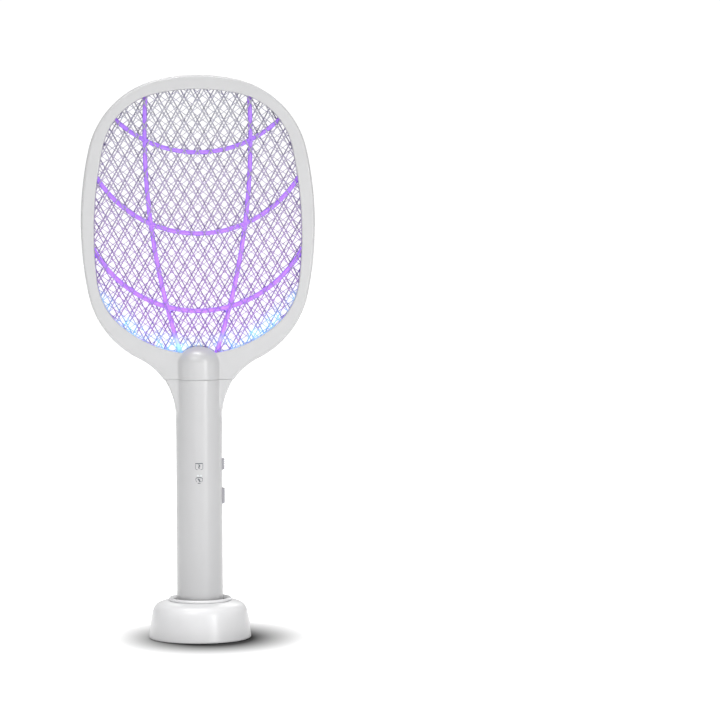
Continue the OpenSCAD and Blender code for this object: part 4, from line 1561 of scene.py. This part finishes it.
@dataclass
class HandleShells:
    """The handle's two shells with the windows for the controls, sizes in metres.

    The screws' places and their bores' and bosses' radii are in millimetres.
    """

    bottom: float = 14 * MM
    web_start: float = 194 * MM
    cone_r: Pair = (19.7 * MM, 30.2 * MM)
    corner: float = 2.2 * MM
    seam_round: float = 0.6 * MM
    parting: float = 0.2 * MM
    wall: float = 1.8 * MM
    fillet: float = 2.2 * MM
    knob_window: tuple[float, float, float] = (3.7 * MM, 145.8 * MM, 160.5 * MM)
    button_window: tuple[float, float, float] = (4.0 * MM, 116.4 * MM, 130.8 * MM)
    screws: tuple[Pair, ...] = ((-13.0, 96.5), (13.0, 96.5), (-13.0, 206.0), (13.0, 206.0))
    bore_r: float = 2.6
    boss_r: float = 3.2
    seat: float = 9.0 * MM
    floor: float = 0.8 * MM

    def heights(self) -> Array:
        """Heights of the rows, close together at both ends and lined up with the windows."""
        marks = [self.bottom, self.button_window[1], self.button_window[2],
                 self.knob_window[1], self.knob_window[2], self.web_start,
                 SHAPE.seam_z - self.seam_round]
        rows = [self.bottom + self.seam_round * (1 - np.cos(np.linspace(0, np.pi / 2, 4)))]
        for low, high in zip(marks[:-1], marks[1:]):
            step = 1.5 * MM if low >= self.web_start else 4 * MM
            count = max(2, int((high - low) / step))
            rows.append(np.linspace(low, high, count + 1)[1:])
        rows.append(SHAPE.seam_z - self.seam_round
                    * (1 - np.sin(np.linspace(0, np.pi / 2, 5)))[1:])
        return np.unique(np.round(np.concatenate(rows), 7))

    def angles(self) -> Array:
        """Angles of the columns from +X, closest where the web's edge is, through the windows."""
        windows = np.degrees(np.arcsin([self.knob_window[0] / SHAPE.handle_r,
                                        self.button_window[0] / SHAPE.handle_r]))
        half = np.concatenate([[0.0, 0.25, 0.6, 1.2, 2.5, 4.0, 6.0, 8.0], windows,
                               np.arange(13.0, 32.0, 1.0), np.arange(33.0, 90.0, 3.0)])
        return np.concatenate([half, [90.0], (180 - half)[::-1]])

    def reach(self, z: Array, angle: Array) -> Array:
        """Distance from the axis: the round handle or the web, whichever reaches further.

        The web's section is a rectangle with round corners, cut back to a cone that widens
        from the handle's own radius. Both ends and the parting line draw in a little.

        Args:
            z: Heights, one for each row.
            angle: Angles in degrees, one for each column.

        Returns:
            Rows by columns of distances.
        """
        z = z[:, None]
        c = np.abs(np.cos(np.radians(angle)))[None]
        s = np.abs(np.sin(np.radians(angle)))[None]
        half_w = SHAPE.half_width(z)
        to_side = half_w / np.maximum(c, 1e-4)
        to_face = SHAPE.half_depth / np.maximum(s, 1e-4)
        box = -smooth_higher(-to_side, -to_face, self.corner)
        t = (z - self.web_start) / (SHAPE.seam_z - self.web_start)
        cone = self.cone_r[0] + (self.cone_r[1] - self.cone_r[0]) * t
        web = -smooth_higher(-box, -np.broadcast_to(cone, box.shape), self.corner)
        round_part = np.full(web.shape, SHAPE.handle_r)
        out = np.where(z > self.web_start, smooth_higher(round_part, web, self.fillet)
                       - self.fillet / 4 * np.clip(1 - t * 6, 0, 1), round_part)
        out = np.where(z > self.web_start, np.maximum(out, SHAPE.handle_r), out)
        off = np.minimum(np.radians(angle), np.pi - np.radians(angle))[None] * out
        groove = self.parting * np.clip(1 - off / (1.4 * self.parting), 0, 1) ** 2
        from_top = np.clip(1 - (SHAPE.seam_z - z) / self.seam_round, 0, 1)
        from_low = np.clip(1 - (z - self.bottom) / self.seam_round, 0, 1)
        ends = self.seam_round * (2 - np.sqrt(1 - from_top ** 2) - np.sqrt(1 - from_low ** 2))
        return out - groove - ends

    def wanted(self, z: Array, angle: Array) -> Array:
        """Which quads are wall: all but those inside the two windows at +X.

        Args:
            z: Heights of the rows.
            angle: Angles of the columns.

        Returns:
            Rows by columns of the quads, true where there is wall.
        """
        mid_z = (z[:-1] + z[1:])[:, None] / 2
        mid_a = (angle[:-1] + angle[1:])[None] / 2
        keep = np.ones((len(z) - 1, len(angle) - 1), dtype=bool)
        for half, low, high in (self.knob_window, self.button_window):
            limit = np.degrees(np.arcsin(half / SHAPE.handle_r))
            keep &= ~((mid_a < limit) & (mid_z > low) & (mid_z < high))
        return keep

    def shell(self, side: Side) -> Object:
        """Makes one shell.

        Args:
            side: Front or rear.

        Returns:
            The piece.
        """
        z, angle = self.heights(), self.angles()
        out = self.reach(z, angle)
        x = out * np.cos(np.radians(angle))
        y = side.value * np.maximum(out * np.sin(np.radians(angle)), 0.03 * MM)
        points = np.stack([x, y, np.broadcast_to(z[:, None], x.shape)], axis=-1)
        name = side.name.lower()
        skin = Skin().grid(points, keep=self.wanted(z, angle), outward=(0.0, 0.0, 0.11))
        return skin.piece(f"handle_shell_{name}", Finishes.SHELL, Body.SWATTER, "shell_abs",
                          (f"handle_{name}",), wall=self.wall, corner=50)

    def build(self) -> None:
        """Makes both shells, with the screws' bores in the rear one."""
        self.shell(Side.FRONT)
        rear = self.shell(Side.REAR)
        places = [(x * MM, z * MM) for x, z in self.screws]
        bore(rear, [((x, self.seat + 0.02 * MM, z), (x, 22 * MM, z)) for x, z in places],
             self.bore_r * MM)
        self.sleeves(places)
        ScrewHeads(radius=2.4 * MM, height=1.9 * MM).build(
            "handle_screw_heads", "handle_screws", Body.SWATTER,
            [(x, self.seat + 0.06 * MM, z) for x, z in places])

    def sleeves(self, places: list[Pair]) -> None:
        """Lines each screw's bore with the boss that stands inside the shell.

        The wall is a ring carried along Y from the screw's seat to just under the surface.

        Args:
            places: X and Z of the screws.
        """
        lining = Skin()
        for x, z in places:
            depth = float(SHAPE.bulge(np.array(abs(x)), np.array(z))) - 1.2 * MM
            under = self.seat - self.floor
            profile = ((self.bore_r, self.seat), (self.bore_r, depth), (self.boss_r, depth),
                       (self.boss_r, under), (0.0, under), (0.0, self.seat),
                       (self.bore_r, self.seat))
            rows = [stood(disc(radius * MM, 32) + [x, z], y) for radius, y in profile]
            lining.grid(np.array(rows), around=True)
        lining.piece("handle_screw_bosses", Finishes.SHELL, Body.SWATTER, "shell_abs",
                     corner=35, closed=True)


@dataclass
class PrintedMarks:
    """The two printed symbols on the handle's front and the indicator lenses between them."""

    radius: float = 20.02 * MM
    ink: float = 0.02 * MM
    middle_x: float = -0.2
    dots: tuple[Pair, ...] = ((-1.3, 142.7), (1.3, 142.7))
    dot_r: float = 0.8 * MM
    dot_sides: int = 20

    def symbols(self) -> list[tuple[list[Pair] | Array, float]]:
        """The symbols' strokes in millimetres: a boxed spark above, a shielded spark below.

        Returns:
            For each stroke, its points in X and Z and its width.
        """
        half, low, high = 3.2, 148.0, 153.2
        bracket = ((half, high - 0.6), (half, low + 0.9), (half - 0.9, low), (1.2, low))
        flank = ((3.0, 140.1), (2.8, 138.5), (2.0, 137.3))
        turn = np.radians(np.linspace(160, 20, 12))
        return [
            ([(-half, high), (half, high)], 0.75),
            *(([(side * x, z) for x, z in bracket], 0.35) for side in (-1, 1)),
            ([(-0.4, 152.4), (0.75, 151.0), (-0.3, 150.4), (0.1, 148.7)], 0.85),
            (np.stack([3.1 * np.cos(turn), 139.8 + 1.4 * np.sin(turn)], axis=1), 0.6),
            *(([(side * x, z) for x, z in flank], 0.35) for side in (-1, 1)),
            ([(-1.1, 140.0), (0.3, 139.1), (-0.2, 138.7), (1.0, 137.5)], 1.0),
            ([(-1.2, 136.2), (1.2, 136.2)], 0.6),
        ]

    def build(self) -> None:
        """Prints each stroke as a thin ribbon on the handle's round front.

        A stroke's line is carried with half its width to each side, and X becomes an angle
        of X over the radius.
        """
        print_skin = Skin()
        for stroke, width in self.symbols():
            line = np.array(stroke)
            steps = np.concatenate([np.linspace(a, b, 5)[:-1] for a, b in
                                    zip(line[:-1], line[1:])] + [line[-1:]])
            along = unit(np.gradient(steps, axis=0))
            normal = np.stack([-along[:, 1], along[:, 0]], axis=1)
            across = np.linspace(-0.5, 0.5, 4)[:, None, None] * width
            flat = steps[None] + across * normal[None]
            angle = (flat[..., 0] + self.middle_x) * MM / self.radius
            points = np.stack([self.radius * np.sin(angle), -self.radius * np.cos(angle),
                               flat[..., 1] * MM], axis=-1)
            print_skin.grid(points, outward=(0.0, 0.0, 0.142))
        print_skin.piece("handle_print", Finishes.INK, Body.SWATTER, "black_plastic",
                         wall=self.ink)
        self.lenses()

    def lenses(self) -> None:
        """Rounds off the light guides' ends: a shallow cap on each, r (1 - u^2) deep."""
        caps = Skin()
        u = np.linspace(1, 0, 6)[:, None]
        turn = np.arange(self.dot_sides) * 2 * np.pi / self.dot_sides
        for x_mm, z_mm in self.dots:
            x = x_mm * MM + self.dot_r * u * np.cos(turn)
            z = z_mm * MM + self.dot_r * u * np.sin(turn)
            rise = np.broadcast_to(SHAPE.handle_r + 0.14 * MM * (1 - u ** 2), x.shape)
            foot = stood(np.stack([x[0], z[0]], axis=1), -19.4 * MM)[None]
            top = np.stack([x, -rise, z], axis=-1)
            seat = np.broadcast_to(foot.mean(axis=1, keepdims=True), foot.shape)
            caps.grid(np.concatenate([seat, foot, top]), around=True)
        caps.piece("indicator_lenses", Finishes.GUIDE, Body.SWATTER, "light_guide", corner=35,
                   closed=True)


@dataclass
class SideControl:
    """A control that stands out of the handle at +X: crowned, with ridges if it slides.

    It starts at the height low, is length high and twice half wide, in metres.
    """

    name: str
    node: str
    body: Body
    low: float
    length: float
    half: float
    ridges: int
    foot: float = 15.0 * MM
    top: float = 22.0 * MM
    round_edge: float = 1.0 * MM
    crown: float = 0.25 * MM
    ridge: float = 0.5 * MM
    end_share: float = 0.12
    corner_cut: float = 0.10

    def build(self) -> None:
        """Makes the cap as a height over its own rectangle.

        The height is the top less a shallow crown, less a quarter circle within the edge's
        rounding, less the ridges' waves, and the walls drop from the rim to the foot. The
        rectangle's corners are cut in with the eighth power of the other coordinate.
        """
        v = np.sin(np.linspace(-np.pi / 2, np.pi / 2, 25))
        ends = self.end_share * (1 - np.cos(np.linspace(0, np.pi / 2, 8)))
        middle = np.linspace(self.end_share - 1, 1 - self.end_share, 61)[1:-1]
        w = np.concatenate([ends - 1, middle, 1 - ends[::-1]])
        vv, ww = np.meshgrid(v, w)
        y = self.half * vv * np.sqrt(1 - self.corner_cut * ww ** 8)
        z = self.low + self.length / 2 * (1 + ww * np.sqrt(1 - self.corner_cut * vv ** 8))
        from_y = self.half * (1 - np.abs(vv))
        from_z = self.length / 2 * (1 - np.abs(ww))
        drop = np.zeros_like(y)
        for gap in (from_y, from_z):
            near = np.clip(1 - gap / self.round_edge, 0, 1)
            drop += self.round_edge * (1 - np.sqrt(1 - near ** 2))
        drop = np.minimum(drop, self.round_edge * 1.2)
        wave = np.zeros_like(y)
        if self.ridges:
            inner = np.clip(from_z / (1.2 * MM) - 0.3, 0, 1)
            turn = np.pi * (ww + 1) * self.ridges
            wave = self.ridge * inner * (0.5 + 0.5 * np.cos(turn)) ** 2
        x = self.top - drop - wave - self.crown * vv ** 2
        crown = np.stack([x, y, z], axis=-1)
        base = np.stack([np.full_like(x, self.foot), y, z], axis=-1)
        inner_point = ((self.foot + self.top) / 2, 0.0, self.low + self.length / 2)
        skin = Skin().grid(crown, outward=inner_point).grid(base, outward=inner_point)
        border = [crown[0], crown[1:, -1], crown[-1, -2::-1], crown[-2:0:-1, 0]]
        rim = np.concatenate(border)
        foot = rim.copy()
        foot[:, 0] = self.foot
        skin.grid(np.stack([rim, foot]), around=True, outward=inner_point)
        skin.piece(self.name, Finishes.CONTROL, self.body, "control_abs", (self.node,),
                   corner=50)


# ---------------------------------------------------------------- stand


@dataclass
class ChargingStand:
    """The stand's turned shell, its collar and cup and the screws below, in millimetres."""

    side: tuple[Pair, ...] = (
        (43.6, 0.62), (43.95, 0.8), (44.15, 1.2), (44.15, 2.2), (43.7, 6), (43.1, 11),
        (42.3, 17), (41.4, 22.2), (40.35, 25.8), (38.7, 28.6), (36.4, 30.45), (33.4, 31.7),
        (30, 32.5), (27.2, 32.98))
    wall: float = 1.9
    socket_r: float = 22.5
    collar: tuple[Pair, ...] = (
        (26.9, 33.0), (27.2, 33.25), (27.28, 33.8), (27.25, 34.5), (26.95, 35.2), (26.35, 35.48),
        (25.6, 35.3), (24.4, 34.55), (23.2, 33.6), (22.6, 32.7), (22.5, 31.5))
    cup_floor: float = 11.95
    inlet_z: float = 7.0
    pin_x: float = 8.0
    pin_bore_r: float = 1.4
    screw_angles: tuple[float, ...] = (-90.0, 30.0, 150.0)
    screw_place: Pair = (38.6, 1.58)

    def shell(self) -> None:
        """The shell: a smooth curve through the side's points turned round, with a wall.

        The plug's pocket at the back is a soft rectangle cut through the wall.
        """
        profile = eased(np.array(self.side), 5) * MM
        skin = Skin().grid(revolved(profile, 160), around=True, outward=(0.0, 0.0, -0.02))
        made = skin.piece("stand_body", Finishes.STAND, Body.STAND, "stand_abs",
                          ("stand_shell",), wall=self.wall * MM, corner=50)
        pocket = np.array([[0, 36.0, self.inlet_z], [0, 48.0, self.inlet_z]]) * MM
        section = soft_box(13 * MM, 8.4 * MM, 1.6 * MM, 5)
        hole = swept(pocket, section, np.array([1.0, 0.0, 0.0]))
        middle = (0.0, 0.042, self.inlet_z * MM)
        cut_away(made, Skin().grid(hole, around=True, outward=middle))
        self.pocket_liner()

    def pocket_liner(self) -> None:
        """Walls and back of the plug's pocket, with a window for the inlet.

        The liner is a soft rectangle carried along Y, whose back is drawn in to the inlet's
        own size, so that nothing behind the shell shows.
        """
        mouth, window, back = (12.9, 8.3, 1.6), (8.4, 3.6, 0.6), (13.6, 9.0, 1.8)
        rows = [stood(soft_box(*sizes, 5) + [0.0, self.inlet_z], y) for y, sizes in (
            (42.4, mouth), (37.7, mouth), (37.6, window), (36.9, window), (36.9, back),
            (42.2, back), (42.4, mouth))]
        Skin().grid(np.array(rows) * MM, around=True).piece(
            "plug_pocket", Finishes.STAND, Body.STAND, "stand_abs", corner=35, closed=True)

    def cup(self) -> None:
        """The collar and the cup under it, one closed turned skin."""
        rim = eased(np.array(self.collar), 5)
        floor, under = self.cup_floor, self.cup_floor - 1.9
        inside = np.array([[self.socket_r, 20], [self.socket_r, floor + 1],
                           [self.socket_r - 0.3, floor + 0.3], [self.socket_r - 1, floor],
                           [0, floor], [0, under], [23.9, under], [23.9, 33.05],
                           [26.9, 33.0]])
        profile = np.concatenate([rim, inside]) * MM
        made = Skin().grid(revolved(profile, 128), around=True).piece(
            "socket_collar", Finishes.STAND, Body.STAND, "stand_abs", ("socket_cup",),
            corner=50, closed=True)
        bore(made, [((x * MM, 0.0, (under - 1) * MM), (x * MM, 0.0, (floor + 1) * MM))
                    for x in (-self.pin_x, self.pin_x)], self.pin_bore_r * MM)

    def screws(self) -> None:
        """The three screw heads under the plate."""
        away, z = (size * MM for size in self.screw_place)
        places = [(away * np.cos(angle), away * np.sin(angle), z)
                  for angle in np.radians(self.screw_angles)]
        ScrewHeads(radius=2.5 * MM, height=0.86 * MM).build(
            "plate_screw_heads", "stand_screws", Body.STAND, places, down=True)

    def build(self) -> None:
        """Builds the stand."""
        self.shell()
        self.cup()
        self.screws()


# ---------------------------------------------------------------- carried pieces


def dress_carried_nodes() -> None:
    """Gives the solids that stay as they are their finishes, by node name."""
    finishes = {
        Finishes.STAND: ("stand_plate", "lead_tie"),
        Finishes.SHELL: ("handle_cap",),
        Finishes.RUBBER: ("stand_feet",),
        Finishes.IRON: ("ballast_ring",),
        Finishes.BOARD: ("stand_board", "lure_board", "main_board"),
        Finishes.STEEL: ("usb_inlet", "pin_spring_left", "pin_spring_right",
                         "battery_contacts", "micro_plug_shell", "usb_plug_shell"),
        Finishes.BLACK: ("pin_housing", "battery_cradle", "board_chips", "slide_switch",
                         "tact_switch"),
        Finishes.BRASS: ("pin_left", "pin_right", "contact_pads"),
        Finishes.WRAP: ("battery_cell",),
        Finishes.WINDING: ("hv_transformer",),
        Finishes.FILM: ("hv_capacitors",),
        Finishes.GUIDE: ("light_guides", "indicator_lamps"),
        Finishes.RED_WIRE: ("charge_leads",),
        Finishes.BLACK_WIRE: ("battery_leads",),
        Finishes.WHITE_WIRE: ("net_leads",),
    }
    for finish, names in finishes.items():
        for name in names:
            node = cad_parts[name]
            for slot in node.material_slots:
                slot.material = finish.material()
            LOG.info("%s: finished as %s", name, finish.name)


def main() -> None:
    """Builds the studio and every piece in order."""
    logging.basicConfig(level=logging.INFO, format="%(name)s: %(message)s")
    studio = Studio()
    studio.camera()
    ChargingLead().build()
    studio.build()
    ChargingStand().build()
    HandleShells().build()
    HeadShells().build()
    front = tuple(-depth for depth in reversed(SHAPE.guard_ring))
    guard = {"finish": Finishes.GUARD, "slot": "guard_wire", "slope": 61.0,
             "pitch": 9.95 * MM, "wire": 1.0 * MM, "steps": 6}
    Net("front_guard", "front_net", rim=front, shift=0.0, **guard).build()
    Net("charged_net", "inner_net", Finishes.CHARGED, "charged_wire", slope=37.0,
        rim=(-0.85 * MM, 0.85 * MM), pitch=5.5 * MM, shift=1.0 * MM, wire=0.7 * MM, steps=4,
        sides=5).build()
    Net("rear_guard", "rear_net", rim=SHAPE.guard_ring, shift=2.6 * MM, **guard).build()
    for side in Side:
        RibFrame(side).build()
    LureLamps().build()
    SideControl("mode_knob_cap", "mode_knob", Body.KNOB, low=146.2 * MM, length=9.9 * MM,
                half=3.3 * MM, ridges=5).build()
    SideControl("zap_button_cap", "zap_button", Body.BUTTON, low=116.8 * MM,
                length=13.6 * MM, half=3.6 * MM, ridges=0).build()
    PrintedMarks().build()
    dress_carried_nodes()


if __name__ == "__main__":
    main()
